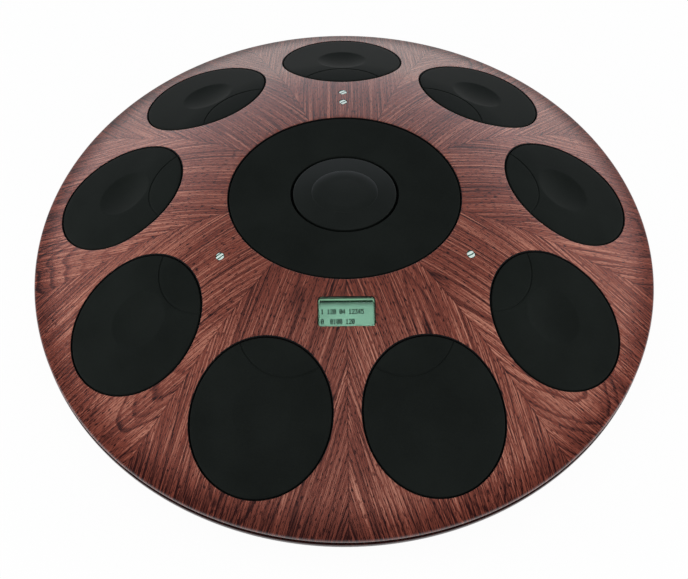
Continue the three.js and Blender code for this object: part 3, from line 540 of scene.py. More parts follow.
@cache
def oiled_walnut():
    """Nine wedges of flat-sawn walnut, turned and oiled. The eye sees a seam between wedges, straight grain
    at their sides and pointed arches in their middles, dark late wood, short dark pores and a satin sheen."""
    material, add = blank("oiled_walnut")
    place = add(PLACE).outputs["Object"]
    spot = add(SPLIT, (place,)).outputs
    flat = add(JOIN, (spot["X"], spot["Y"]))
    radius = add(VECTOR, (flat,), "LENGTH").outputs["Value"]

    # Wedges of 40 degrees, with seams at 70, 110 and so on; each is turned so that its axis runs along X
    first_seam = math.radians(70)
    bearing = add(MATH, (spot["Y"], spot["X"]), "ARCTAN2")
    turns = add(MATH, (bearing, 1 / PAD_STEP, -first_seam / PAD_STEP), "MULTIPLY_ADD")
    whole = add(MATH, (turns,), "FLOOR")
    wedge = add(MATH, (whole, PADS), "FLOORED_MODULO")
    back = add(MATH, (whole, -PAD_STEP, -first_seam - PAD_STEP / 2), "MULTIPLY_ADD")
    board = add("ShaderNodeVectorRotate", {"Vector": place, "Angle": back}, rotation_type="Z_AXIS")
    seed = add(CHANCE, {"W": wedge}, noise_dimensions="1D").outputs
    chance = add("ShaderNodeSeparateColor", (seed["Color"],)).outputs

    # Grain follows the surface, so it is drawn in plan, with the board's axis along X. The shells differ.
    along = add(SPLIT, (board,)).outputs
    seam = 48.3 * MM
    upper = add(MATH, (along["Z"], seam), "GREATER_THAN")
    apart = add(VECTOR, (seed["Color"], upper), "ADD")
    shift = add(VECTOR, {0: apart, "Scale": 7.0}, "SCALE")
    grain_place = add(VECTOR, (board, shift), "ADD")

    def drawn_out(stretch, width, detail=2.0):
        """Noise of a width in millimetres across the grain, drawn out along it, between -1 and 1."""
        plan = add(VECTOR, (grain_place, (1 / stretch, 1, 0)), "MULTIPLY")
        noise = add(NOISE, {"Vector": plan, "Scale": 1 / (width * MM), "Detail": detail})
        return add(RANGE, (noise, 0.32, 0.68, -1, 1))

    # Year rings lie about a pith under the board and dip towards its ends, where they draw arches
    from_pad = add(MATH, (along["X"], 125 * MM), "SUBTRACT")
    bow = add(MATH, (from_pad, from_pad), "MULTIPLY")
    dip = add(RANGE, (chance[0], 0, 1, 0.45, 1.1))
    pith = add(RANGE, (chance[1], 0, 1, 14 * MM, 42 * MM))
    depth = add(MATH, (bow, dip, pith), "MULTIPLY_ADD")
    aside = add(RANGE, (chance[2], 0, 1, -66 * MM, 66 * MM))
    across = add(MATH, (along["Y"], aside), "SUBTRACT")
    side = add(JOIN, (across, depth))
    ring_radius = add(VECTOR, (side,), "LENGTH").outputs["Value"]
    waviness, year_width = 3 * MM, 3 * MM
    ring_place = add(MATH, (drawn_out(7, 36), waviness, ring_radius), "MULTIPLY_ADD")

    # Year rings of 3 mm: pale early wood that darkens to a thin late line, stronger in some years
    years = add(MATH, (ring_place, year_width), "DIVIDE")
    year = add(MATH, (years,), "FLOOR")
    season = add(MATH, (years,), "FRACT")
    darkening = ((0.0, 0.0), (0.55, 0.12), (0.84, 1.0), (0.93, 0.8), (1.0, 0.0))
    late = add(RAMP, (season,), stops=[(at, (level,) * 3) for at, level in darkening])
    luck = add(CHANCE, {"W": year, "Vector": shift}, noise_dimensions="4D")
    lines = add(MATH, (late, luck), "MULTIPLY")

    # Tone: 0 is the darkest wood, 1 the palest, and each wedge has its own. Fibres and pores are finer in the
    # real wood and are drawn to show. The crown and the rim are darkened as painted shade, the lower rim more.
    tone = add(RANGE, (seed["Value"], 0, 1, 0.55, 0.66))
    streaks, fibres, threads = drawn_out(16, 9), drawn_out(100, 0.95, 1.0), drawn_out(160, 2.0, 1.0)
    pores = add(RANGE, (drawn_out(6, 0.75, 1.0), 0.38, 0.95))
    figure = add(RANGE, (drawn_out(2.4, 24, 3.0), 0.45, 1.0))
    rim = add(RANGE, (radius, 232 * MM, 258 * MM), interpolation_type="SMOOTHSTEP")
    # Painted shade: the wood darkens towards the rim, more on the lower shell
    rim_shade = add(RANGE, (upper, 0, 1, -0.6, -0.3))
    # Painted shade: the wood darkens over the crown, where less light falls than on the flanks
    crown = add(RANGE, (radius, 110 * MM, 160 * MM, 1, 0))
    grain = ((lines, -0.4), (streaks, 0.06), (fibres, 0.23), (threads, 0.08), (pores, -0.54), (figure, -0.14))
    for layer, weight in (*grain, (rim, rim_shade), (crown, -0.12)):
        tone = add(MATH, (layer, weight, tone), "MULTIPLY_ADD")

    # Glue line at the seams
    to_seam = add(MATH, (turns, 0.5), "PINGPONG")
    arc_length = add(MATH, (to_seam, radius), "MULTIPLY")
    glue = add(RANGE, (arc_length, 0.2 * MM, 0.9 * MM, -0.22, 0))
    tone = add(MATH, (tone, glue), "ADD", use_clamp=True)
    shades = (finish().walnut_dark, finish().walnut_mid, finish().walnut_light)
    wood = add(RAMP, (tone,), stops=list(zip((0.0, 0.5, 1.0), shades)))

    # Satin oil, duller in the pores and worn off where hands hold the rim
    satin = add(RANGE, (tone, 0, 1, 0.32, 0.18))
    polish = add(RANGE, (upper, 0, 1, 0.08, 0.5))
    worn = add(RANGE, (upper, 0, 1, 0.16, 0.08))
    held = add(RANGE, (rim, 0, 1, polish, worn))
    lip = add(RANGE, (radius, 258.6 * MM, 259.4 * MM, 0, 0.8))
    oil = add(MATH, (held, lip), "MAXIMUM")
    relief = add(BUMP, {"Height": tone, "Strength": 0.25, "Distance": 0.25 * MM})
    return dressed(material, {
        "Base Color": wood, "Roughness": satin, "Normal": relief, "Specular IOR Level": oil, "IOR": 1.54
    })


def tinted(base, darker, paler):
    """A darker and a paler shade of a colour."""
    return [darker * c for c in base], [min(paler * c, 1) for c in base]


def silicone(name, dull_from, dull_to, sheen):
    """Black silicone rubber from a blasted mould: near black with a hint of green, and a soft sheen at low
    angles."""
    material, add = blank(name)
    place = add(PLACE).outputs["Object"]
    # Blasted grain of about 0.9 mm, drawn coarser than the real one so that it shows
    grain = add(NOISE, {"Vector": place, "Scale": 1 / (0.9 * MM), "Detail": 2.0})
    haze = add(NOISE, {"Vector": place, "Scale": 1 / (40 * MM), "Detail": 3.0})
    mixed = add(MATH, (grain, haze), "ADD")
    half = add(MATH, (mixed, 0.5), "MULTIPLY")
    body = add(RAMP, (half,), stops=list(zip((0.35, 0.65), tinted(finish().silicone, 0.82, 1.2))))
    dull = add(RANGE, (haze, 0, 1, dull_from, dull_to))
    relief = add(BUMP, {"Height": grain, "Strength": 0.12, "Distance": 0.1 * MM})
    return dressed(material, {
        "Base Color": body, "Roughness": dull, "Normal": relief, "Specular IOR Level": sheen, "IOR": 1.41
    })


@cache
def moulded_silicone():
    """The pads' silicone, matt as it left the mould."""
    return silicone("moulded_silicone", 0.36, 0.46, 0.013)


@cache
def polished_silicone():
    """The ding's middle pad, smoother from its mould and from play, so that its crown shows a soft gleam."""
    return silicone("polished_silicone", 0.26, 0.34, 0.2)


def grained(name, code, grain_mm, contrast, roughness, metallic=0.0, strength=0.15):
    """A material of one colour with a fine uneven grain in its colour, gloss and relief."""
    material, add = blank(name)
    place = add(PLACE).outputs["Object"]
    grain = add(NOISE, {"Vector": place, "Scale": 1 / (grain_mm * MM), "Detail": 3.0})
    shades = tinted(linear(code), 1 - contrast, 1 + contrast)
    body = add(RAMP, (grain,), stops=list(zip((0.3, 0.7), shades)))
    dull = add(RANGE, (grain, 0, 1, roughness - 0.08, roughness + 0.08))
    relief = add(BUMP, {"Height": grain, "Strength": strength, "Distance": 0.1 * MM})
    return dressed(material, {"Base Color": body, "Roughness": dull, "Normal": relief, "Metallic": metallic})


@cache
def sensor_foam():
    """Cut polyurethane foam: dark grey with open cells of about 1 mm."""
    return grained("sensor_foam", "#3A3A3C", 1.0, 0.35, 0.9, strength=0.8)


@cache
def extruded_rubber():
    """Extruded black rubber of the gasket and feet: matt, with a faint bloom."""
    return grained("extruded_rubber", "#131313", 3.0, 0.25, 0.72)


@cache
def pocket_shade_black():
    """Matt black on the wood inside the pockets: painted shade, which shows as a dark line round each pad."""
    return grained("pocket_shade_black", "#0B0A0A", 2.0, 0.2, 0.85)


@cache
def moulded_abs():
    """Black ABS with a fine spark-eroded texture: knobs, tray and socket bodies."""
    return grained("moulded_abs", "#181818", 0.6, 0.12, 0.5, strength=0.25)


@cache
def anodised_aluminium():
    """Bead-blasted, black anodised aluminium: dark grey, with a dull metal sheen."""
    return grained("anodised_aluminium", "#2B2C2E", 0.5, 0.12, 0.42, metallic=0.85, strength=0.2)


@cache
def nickel_plate():
    """Turned brass under nickel plate: bright, warm grey metal."""
    return grained("nickel_plate", "#BDBAB2", 0.8, 0.06, 0.26, metallic=1.0, strength=0.05)


@cache
def zinc_steel():
    """Zinc-plated steel screws: bluish grey, a little mottled."""
    return grained("zinc_steel", "#9A9C9F", 1.5, 0.12, 0.36, metallic=1.0, strength=0.08)


@cache
def shrink_film():
    """Blue PVC shrink film over the cells: glossy, with soft wrinkles about 12 mm apart."""
    return grained("shrink_film", "#2F4A78", 12, 0.12, 0.32, strength=0.6)


@cache
def marking_paint():
    """White marking paint, slightly chalky."""
    return grained("marking_paint", "#E6E6E2", 1.0, 0.05, 0.6)


@cache
def solder_mask():
    """Green solder mask over copper tracks, which show as paler lines about 2 mm wide."""
    material, add = blank("solder_mask")
    shades = {"Color1": "#17512E", "Color2": "#1E6238", "Mortar": "#3B8455"}
    tracks = add("ShaderNodeTexBrick", {
        "Vector": add(PLACE).outputs["Object"],
        **{key: (*linear(code), 1) for key, code in shades.items()},
        "Scale": 1 / (40 * MM),
        "Mortar Size": 0.02,
        "Brick Width": 0.5,
        "Row Height": 0.12,
    })
    return dressed(material, {"Base Color": tracks, "Roughness": 0.4})


def bands(millimetres):
    """The scale at which a wave texture's bands are that far apart."""
    return math.tau / 20 / (millimetres * MM)


@cache
def flat_cable():
    """Flat flexible cable: silver conductors 1 mm apart under clear film."""
    material, add = blank("flat_cable")
    place = add(PLACE).outputs["Object"]
    stripes = add("ShaderNodeTexWave", {"Vector": place, "Scale": bands(1)}, bands_direction="X")
    body = add(RAMP, (stripes,), stops=((0.4, linear("#8F9194")), (0.6, linear("#C9CACD"))))
    return dressed(material, {"Base Color": body, "Roughness": 0.35})


@cache
def striped_shell():
    """Polished shell: milky pale green with a few slanting dark bands about 3 mm apart, and a gloss."""
    material, add = blank("striped_shell")
    place = add(PLACE).outputs["Object"]
    slant = add("ShaderNodeMapping", {"Vector": place, "Rotation": (0, 0, math.radians(55))})
    wave = {"Vector": slant, "Scale": bands(2.9), "Distortion": 1.5, "Detail": 2.0, "Detail Scale": 3.0}
    stripes = add("ShaderNodeTexWave", wave, bands_direction="X")
    dark, pale = finish().shell_dark, finish().shell
    body = add(RAMP, (stripes,), stops=((0.0, dark), (0.16, dark), (0.4, pale)))
    return dressed(material, {"Base Color": body, "Roughness": 0.18})


@cache
def cover_glass():
    """Clear acrylic cover over the display. Its anti-glare coat hardly reflects, so its IOR is low."""
    material, _ = blank("cover_glass")
    clear = {"Base Color": (*linear("#F4FBF7"), 1), "Roughness": 0.03, "IOR": 1.12}
    return dressed(material, {**clear, "Transmission Weight": 1.0})


def display_film(name, base, painted_shadow=None):
    """Green polarising film over a reflector: even colour with a faint uneven glow, about 9 mm across.
    Where a way up and a height along it are given, a painted shadow darkens the film towards that height over
    4 mm."""
    material, add = blank(name)
    place = add(PLACE).outputs["Object"]
    glow = add(NOISE, {"Vector": place, "Scale": 1 / (9 * MM)})
    film = add(RAMP, (glow,), stops=list(zip((0.3, 0.7), tinted(base, 0.93, 1.06)))).outputs["Color"]
    if painted_shadow:
        up, edge = painted_shadow
        # Painted shadow of the seal, darkening the field over 4 mm below it
        height = add(VECTOR, (place, up), "DOT_PRODUCT").outputs["Value"]
        light = add(RANGE, (height, edge - 4 * MM, edge, 1, 0.3))
        film = add(VECTOR, {0: film, "Scale": light}, "SCALE").outputs["Vector"]
    return dressed(material, {"Base Color": film, "Roughness": 0.35, "Specular IOR Level": 0.05})


@cache
def display_green():
    """The display's green field, with a painted shadow of the seal over its upper edge."""
    place = seat("lcd_window")
    up = place.to_3x3() @ Vector((0, 1, 0))
    edge = up.dot(place.translation) + 8 * MM
    return display_film("display_green", finish().display, (up, edge))


@cache
def display_strip():
    """The paler glass of the contact strip and of the thin border round the field, paler in part as a painted
    highlight along the glass edge.
    """
    return display_film("display_strip", finish().display_edge)


@cache
def display_seal():
    """The dark green line of the cell's seal."""
    return display_film("display_seal", finish().display_seal)


@cache
def display_ink():
    """Dots of the display: very dark green."""
    return display_film("display_ink", finish().display_ink)


# The dome that pads, display and dots follow


def shells():
    """The shells' sizes."""
    return bpy.context.scene.handpan_shells


def pads():
    """The pads' sizes."""
    return bpy.context.scene.handpan_pads


def dome_sine(r):
    """Sine of the dome's slope at a distance from its axis."""
    body = shells()
    return min(max((r - body.crown_radius) / body.blend_radius, 0), math.sin(body.flank_angle))


def dome_height(r):
    """Height of the dome at a distance from its axis."""
    body = shells()
    bend = body.blend_radius * (1 - math.sqrt(1 - dome_sine(r) ** 2))
    flank = max(r - body.crown_radius - body.blend_radius * math.sin(body.flank_angle), 0)
    return body.crown_height - bend - flank * math.tan(body.flank_angle)


def on_dome(piece, bearing=0.0):
    """Lays a flat piece on the dome."""
    body = shells()
    return grow(piece, follow_dome(), {
        "Bearing": bearing,
        "Crown Height": body.crown_height,
        "Crown Radius": body.crown_radius,
        "Blend Radius": body.blend_radius,
        "Flank Angle": body.flank_angle,
    })


def seat(node_name):
    """The frame of a plate let into the dome: its middle, Z along the normal and Y towards the ding."""
    low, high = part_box(node_name)
    middle = (low + high) / 2
    turn = math.atan2(middle.y, middle.x) + QUARTER
    lean = math.asin(dome_sine(math.hypot(middle.x, middle.y)))
    return Matrix.Translation(middle) @ Matrix.Rotation(turn, 4, "Z") @ Matrix.Rotation(lean, 4, "X")


# Forms


def pocket(half_x, half_y, count, middle=(0, 0)):
    """A cutter for a pocket in the dome, drawn flat, that rounds the wood's edge."""
    edge, floor = shells().pocket_edge, -shells().pocket_depth
    lid, out = 8 * MM, edge + 4 * MM
    walls = [(out, lid), (out, 2 * MM), *arc(edge, -edge, edge, QUARTER, math.pi, 5), (0, floor)]
    rows = [((half_x + out) * s, (half_y + out) * s, lid) for s in (0.25, 0.5, 0.75)]
    rows += [(half_x + r, half_y + r, z) for r, z in walls]
    rows += [(half_x * s, half_y * s, floor) for s in (0.75, 0.5, 0.25)]
    return ovals(rows, lid, floor, count, middle)


def top_blank():
    """The top shell before anything is let into it."""
    body = shells()
    soft, cavity = body.edge_break, body.radius - body.rim_wall
    round_r = body.radius - body.rim_round
    round_z = dome_height(round_r) - body.rim_round / math.cos(body.flank_angle)
    tangent = round_r + body.rim_round * math.sin(body.flank_angle)
    profile = [(r, dome_height(r)) for r in spread(0, tangent, 54)[:-1]]
    profile += arc(round_r, round_z, body.rim_round, QUARTER - body.flank_angle, 0, 8)
    profile += arc(body.radius - soft, body.seam_height + soft, soft, 0, -QUARTER, 4)
    profile.append((cavity, body.seam_height))
    profile += [(r, dome_height(r) - body.wall) for r in reversed(spread(0, cavity, 18))]
    return revolve(profile, 32 * PADS)


def bowl_blank():
    """The bottom shell before its bay and holes, as the outside and the cavity."""
    body = shells()
    lean, soft, low = body.bowl_angle, body.edge_break, body.base_height
    round_r, round_z = body.radius - body.bowl_round, body.bowl_height - body.bowl_land
    rise = round_z - body.bowl_round * math.cos(lean) - low
    base = round_r + body.bowl_round * math.sin(lean) - rise / math.tan(lean)
    tangent = base - body.base_round * math.tan(lean / 2)
    foot = arc(tangent, low + body.base_round, body.base_round, -QUARTER, lean - QUARTER, 6)
    rim = arc(round_r, round_z, body.bowl_round, lean - QUARTER, 0, 8)
    side = zip(*[spread(start, end, 8)[1:-1] for start, end in zip(foot[-1], rim[0])])
    top = body.seam_height - 0.3 * MM
    outside = [(r, low) for r in spread(0, tangent, 6)[:-1]] + [*foot, *side, *rim]
    outside += arc(body.radius - soft, body.bowl_height - soft, soft, 0, QUARTER, 4)
    outside += [(body.bowl_step, body.bowl_height), (body.bowl_step, top), (0, top)]
    floor, lid = low + body.base_wall, top + 20 * MM
    cavity = body.radius - body.rim_wall
    floor_edge = base + body.base_wall / math.tan(lean) - body.bowl_wall
    wall_foot = floor + (cavity - floor_edge) * math.tan(lean)
    inside = [(0, floor), (floor_edge, floor), (cavity, wall_foot), (cavity, lid), (0, lid)]
    return revolve(outside, 32 * PADS), revolve(inside, 12 * PADS)


def tone_pad_form():
    """A tone pad, drawn flat at the ring's first place: a dimple with a soft lip, and a rounded edge."""
    size, count, wide = pads(), 144, 16 / 14
    lip, middle = size.dimple_lip, size.ring - size.dimple_inset
    # Rows of radius, height and the place of the ring's middle, closer together at the lip
    rows = []
    for share in [i / 14 for i in range(1, 13)] + [0.89 + 0.02 * i for i in range(12)] + [wide]:
        fall = size.dimple_depth * (1 - share**2)
        soft = (fall + lip) ** 2 / (4 * lip) if fall > -lip else 0
        rows.append((size.dimple_radius * share, -fall if fall > lip else -soft, middle))
    start, end = size.dimple_radius * wide, size.radius - size.edge
    rows += [(mix(start, end, s), 0, mix(middle, size.ring, s)) for s in spread(0, 1, 8)[1:]]
    rows += [(r, z, size.ring) for r, z in arc(end, -size.edge, size.edge, QUARTER, 0, 6)[1:]]
    rows += [(size.radius * s, -size.thickness, size.ring) for s in (1, 0.75, 0.5, 0.25)]
    rings = [oval(r, r, z, count, (0, y)) for r, z, y in rows]
    return loft([[(0, middle, -size.dimple_depth)], *rings, [(0, size.ring, -size.thickness)]])


def arc_groove_form():
    """The cutter of a tone pad's arc groove, with a round bottom."""
    size, soft = pads(), 0.3 * MM
    half, depth = size.arc_width / 2, size.arc_depth
    middle = size.ring - size.dimple_inset - size.dimple_radius - size.arc_clear - size.arc_radius
    # Half the section: from the lid over a rounded edge down to the bottom
    edge = [(half + soft * (1 - math.sin(t)), -0.35 * depth * (1 - math.cos(t))) for t in (0, 0.5, 1.0, 1.4)]
    outer = [(half + soft, 3 * MM), *edge, (0.8 * half, -0.75 * depth), (0.45 * half, -0.95 * depth)]
    section = [(size.arc_radius + out, z) for out, z in outer] + [(size.arc_radius, -depth)]
    section += [(size.arc_radius - out, z) for out, z in reversed(outer)]
    return moved(revolve(section, 240, cyclic=True), Matrix.Translation((0, middle, 0)))


def oval_ring(half_x, half_y, hole_x, hole_y, low, high, edge, count):
    """A flat oval ring with rounded upper edges."""
    out_x, out_y, in_x, in_y = half_x - edge, half_y - edge, hole_x + edge, hole_y + edge
    rows = [(out_x + r, out_y + r, z) for r, z in arc(0, high - edge, edge, 0, QUARTER, 6)]
    rows += [(mix(out_x, in_x, s), mix(out_y, in_y, s), high) for s in spread(0, 1, 10)[1:-1]]
    rows += [(in_x + r, in_y + r, z) for r, z in arc(0, high - edge, edge, QUARTER, math.pi, 6)]
    rows += [(mix(hole_x, half_x, s), mix(hole_y, half_y, s), low) for s in spread(0, 1, 5)]
    return loft([oval(x, y, z, count) for x, y, z in rows], cyclic=True)


def ding_center_form():
    """The ding's middle pad: crowned, with an oval cap that stands on it on a rounded shoulder."""
    size, edge = pads(), pads().edge
    half_x, half_y = size.center_x - size.center_gap, size.center_y - size.center_gap
    cap_share, shoulder = size.cap_x / half_x, 1 - size.cap_edge / size.cap_x
    foot = size.center_crown * (1 - cap_share**2)
    fall = size.center_crown - foot
    rise = size.cap_height - fall * shoulder**2 - foot
    cap = [(s, size.cap_height - fall * s**2) for s in spread(0, shoulder, 8)[1:]]
    cap += [(mix(shoulder, 1, r), foot + rise * up) for r, up in arc(0, 0, 1, QUARTER, 0, 10)[1:]]
    rows = [(size.cap_x * s, size.cap_y * s, z) for s, z in cap]
    for s in spread(0, 1, 8)[1:]:
        z = size.center_crown * (1 - mix(cap_share, 1, s) ** 2)
        rows.append((mix(size.cap_x, half_x - edge, s), mix(size.cap_y, half_y - edge, s), z))
    rows += [(half_x - edge + r, half_y - edge + r, z) for r, z in arc(0, -edge, edge, QUARTER, 0, 6)[1:]]
    rows += [(half_x * s, half_y * s, -size.thickness) for s in (1, 0.66, 0.33)]
    return ovals(rows, size.cap_height, -size.thickness, 144)


def foam_disc_form(half_x, half_y, middle=(0, 0)):
    """A disc of foam, full in the middle and drawn in a little at its cut edge."""
    size, fall = pads(), 0.45 * MM
    high = -size.thickness - size.sensor_gap
    low, shoulder = high - size.sensor_thickness, high - fall
    rows = [(half_x * s, half_y * s, high - fall * s**4) for s in (0.2, 0.4, 0.6, 0.8, 0.93)]
    sides = ((0.1, shoulder - 0.2 * MM), (0, shoulder - 0.5 * MM), (0, low + 0.2 * MM), (0.2, low))
    rows += [(half_x - inset * MM, half_y - inset * MM, z) for inset, z in sides]
    rows += [(half_x * s, half_y * s, low) for s in (0.66, 0.33)]
    return ovals(rows, high, low, 96, middle)


def foot_form():
    """A rubber foot: a tapered button with a shallow hollow below and a peg above."""
    hollow = [(0, 0.7), (7, 0.7), (7.6, 0.5), (8.2, 0)]
    button = [(11.8, 0), (12.9, 0.35), (13.5, 1.0), (14.7, 4.6), (14.9, 5.3), (14.6, 5.7)]
    peg = [(4, 5.7), (4, 8.2), (4.2, 8.8), (4, 9.6), (3.2, 11), (0, 11)]
    return turned(hollow + button + peg, 48)


def foot_ring():
    """The radius of the ring that the feet stand on."""
    low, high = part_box("foot_1")
    return math.hypot((low.x + high.x) / 2, (low.y + high.y) / 2)


def screw_form():
    """A pan-head wood screw, head down, with a square drive and a coarse thread."""
    count, drive, threads = 32, 3.2 * MM, 6
    low, tip = shells().screw_seat - 3.3 * MM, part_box("shell_screw_1")[1].z
    rings = [[(0, 0, low + 1.5 * MM)]]
    rings += [rounded(drive, drive, 0.2 * MM, low + z * MM, count) for z in (1.5, 0.15)]
    rings.append(rounded(drive + 0.3 * MM, drive + 0.3 * MM, 0.3 * MM, low, count))
    shank = 14.0
    profile = [(2.7, 0), (3.4, 0.35), (3.85, 1), (4, 1.8), (4, 2.8), (3.8, 3), (1.9, 3), (1.9, shank)]
    for z in spread(shank, (tip - low) / MM - 4, threads)[:-1]:
        profile += [(1.5, z + 0.1), (1.5, z + 0.7), (2.0, z + 1.1), (1.5, z + 1.5)]
    rings += [oval(r * MM, r * MM, low + z * MM, count) for r, z in profile]
    return loft([*rings, [(0, 0, tip)]])


# Panel pieces are drawn with Z out of the panel's face, and X along it

PANEL_REAR = -2.3 * MM


def panel_place(node_name="port_panel"):
    """The frame of a thing on the panel's face, at the node's place along it."""
    low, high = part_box("port_panel")
    near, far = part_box(node_name)
    face = Vector(((near.x + far.x) / 2, high.y, (low.z + high.z) / 2))
    return Matrix.Translation(face) @ Matrix.Rotation(-QUARTER, 4, "X")


def nut_form(bore):
    """A hexagon nut with a chamfered front, bored for a bushing."""
    corner, chamfer, low, high, count = 6.8 * MM, 5.95 * MM, 0.3 * MM, 2.3 * MM, 48

    def hexagon(z, limit):
        """A ring of the nut, no wider than a limit."""
        flat, turn = corner * math.cos(math.pi / 6), math.pi / 3
        return shaped(lambda t: min(flat / math.cos((t + turn / 2) % turn - turn / 2), limit), z, count)

    return loft([
        oval(bore, bore, low, count),
        hexagon(low, corner),
        hexagon(high - 0.45 * MM, corner),
        hexagon(high, chamfer),
        oval(bore + 0.3 * MM, bore + 0.3 * MM, high, count),
        oval(bore, bore, high - 0.3 * MM, count),
    ], cyclic=True)


def jack_barrel_form():
    """A threaded socket bushing with a polished mouth, and its nut."""
    outer, bore = 4.5, 3.3
    profile = [(0, -20), (bore, -20), (bore, 2.9), (bore + 0.35, 3.35)]
    profile += [(outer - 0.3, 3.4), (outer - 0.05, 3.1)]
    for z in (2.9, 2.4, 1.9, 1.4):
        profile += [(outer - 0.3, z - 0.12), (outer - 0.02, z - 0.37)]
    profile += [(outer - 0.3, 0.4), (outer - 0.3, -13), (0, -20.6)]
    return together(turned(profile, 48), nut_form(outer * MM))


def jack_case_form():
    """The case of a jack behind the panel, open round its bushing."""
    width, depth, hole, wall = 14 * MM, 22 * MM, 4.6 * MM, 1 * MM
    end = PANEL_REAR - depth
    rings = [rounded(width, width, 0.6 * MM, z, 32) for z in (end, PANEL_REAR)]
    return loft([*rings, *[oval(hole, hole, z, 32) for z in (PANEL_REAR, end + wall)]])


def usb_mouth_form():
    """A folded steel socket shell with a rolled front edge, and its case."""
    width, height, roll, count = 9 * MM, 3.4 * MM, 0.2 * MM, 48
    end, back, inside = -9.3 * MM, -11.3 * MM, 0.7 * MM
    case = [rounded(12 * MM, 12 * MM, 0.5 * MM, z, count) for z in (back, PANEL_REAR)]
    # How much narrower each ring is than the shell, and its height
    rows = [(0, PANEL_REAR), (0, -roll), (roll, 0), (inside - roll, 0), (inside, -roll), (inside, end)]
    shell = [rounded(width - w, height - w, (height - w) / 2 - 0.05 * MM, z, count) for w, z in rows]
    return loft([[(0, 0, back)], *case, *shell, [(0, 0, end)]])


def knob_form():
    """A fluted knob with a rounded front edge and a dished face, on its shaft."""
    flutes, flute, radius, soft, taper = 14, 0.35 * MM, 7.2 * MM, 1.2 * MM, 1 * MM
    rear, low, high, count = -9 * MM, 3.7 * MM, 14.7 * MM, 140

    def fluted(less, z, depth=flute):
        """A ring of the grip."""
        return shaped(lambda t: radius - less + depth * math.cos(flutes * t), z, count)

    rings = [oval(r * MM, r * MM, z, count) for r, z in ((2.9, rear), (2.9, low), (5.6, low))]
    rings += [fluted(0.3 * MM, low), fluted(0, low + 0.3 * MM), fluted(0, high - soft)]
    for s in (0.25, 0.5, 0.75, 1.0):
        less, down = taper * (1 - math.cos(s * QUARTER)), soft * (1 - math.sin(s * QUARTER))
        rings.append(fluted(less, high - down, flute * (1 - s)))
    rings += [oval(r * MM, r * MM, high - z * MM, count) for r, z in ((5.5, 0.02), (5.2, 0.3), (2.5, 0.45))]
    return loft([[(0, 0, rear)], *rings, [(0, 0, high - 0.5 * MM)]])


def button_form():
    """A round push button with a dished face."""
    edge = 0.8
    rim = arc(4 - edge, 3 - edge, edge, 0, QUARTER, 6)
    return turned([(0, -6), (4, -6), *rim, (2.8, 2.92), (2.0, 2.7), (1.0, 2.55), (0, 2.5)], 64)


# Display digits: five columns by seven rows, a mark for each dot that is on
DIGITS = {
    "0": (".###.", "#...#", "#..##", "#.#.#", "##..#", "#...#", ".###."),
    "1": ("..#..", ".##..", "..#..", "..#..", "..#..", "..#..", ".###."),
    "2": (".###.", "#...#", "....#", "...#.", "..#..", ".#...", "#####"),
    "3": ("#####", "...#.", "..#..", "...#.", "....#", "#...#", ".###."),
    "4": ("...#.", "..##.", ".#.#.", "#..#.", "#####", "...#.", "...#."),
    "5": ("#####", "#....", "####.", "....#", "....#", "#...#", ".###."),
}
DISPLAY_ROWS = ("1 120 04 12345", "0  0100 120")


# Operators


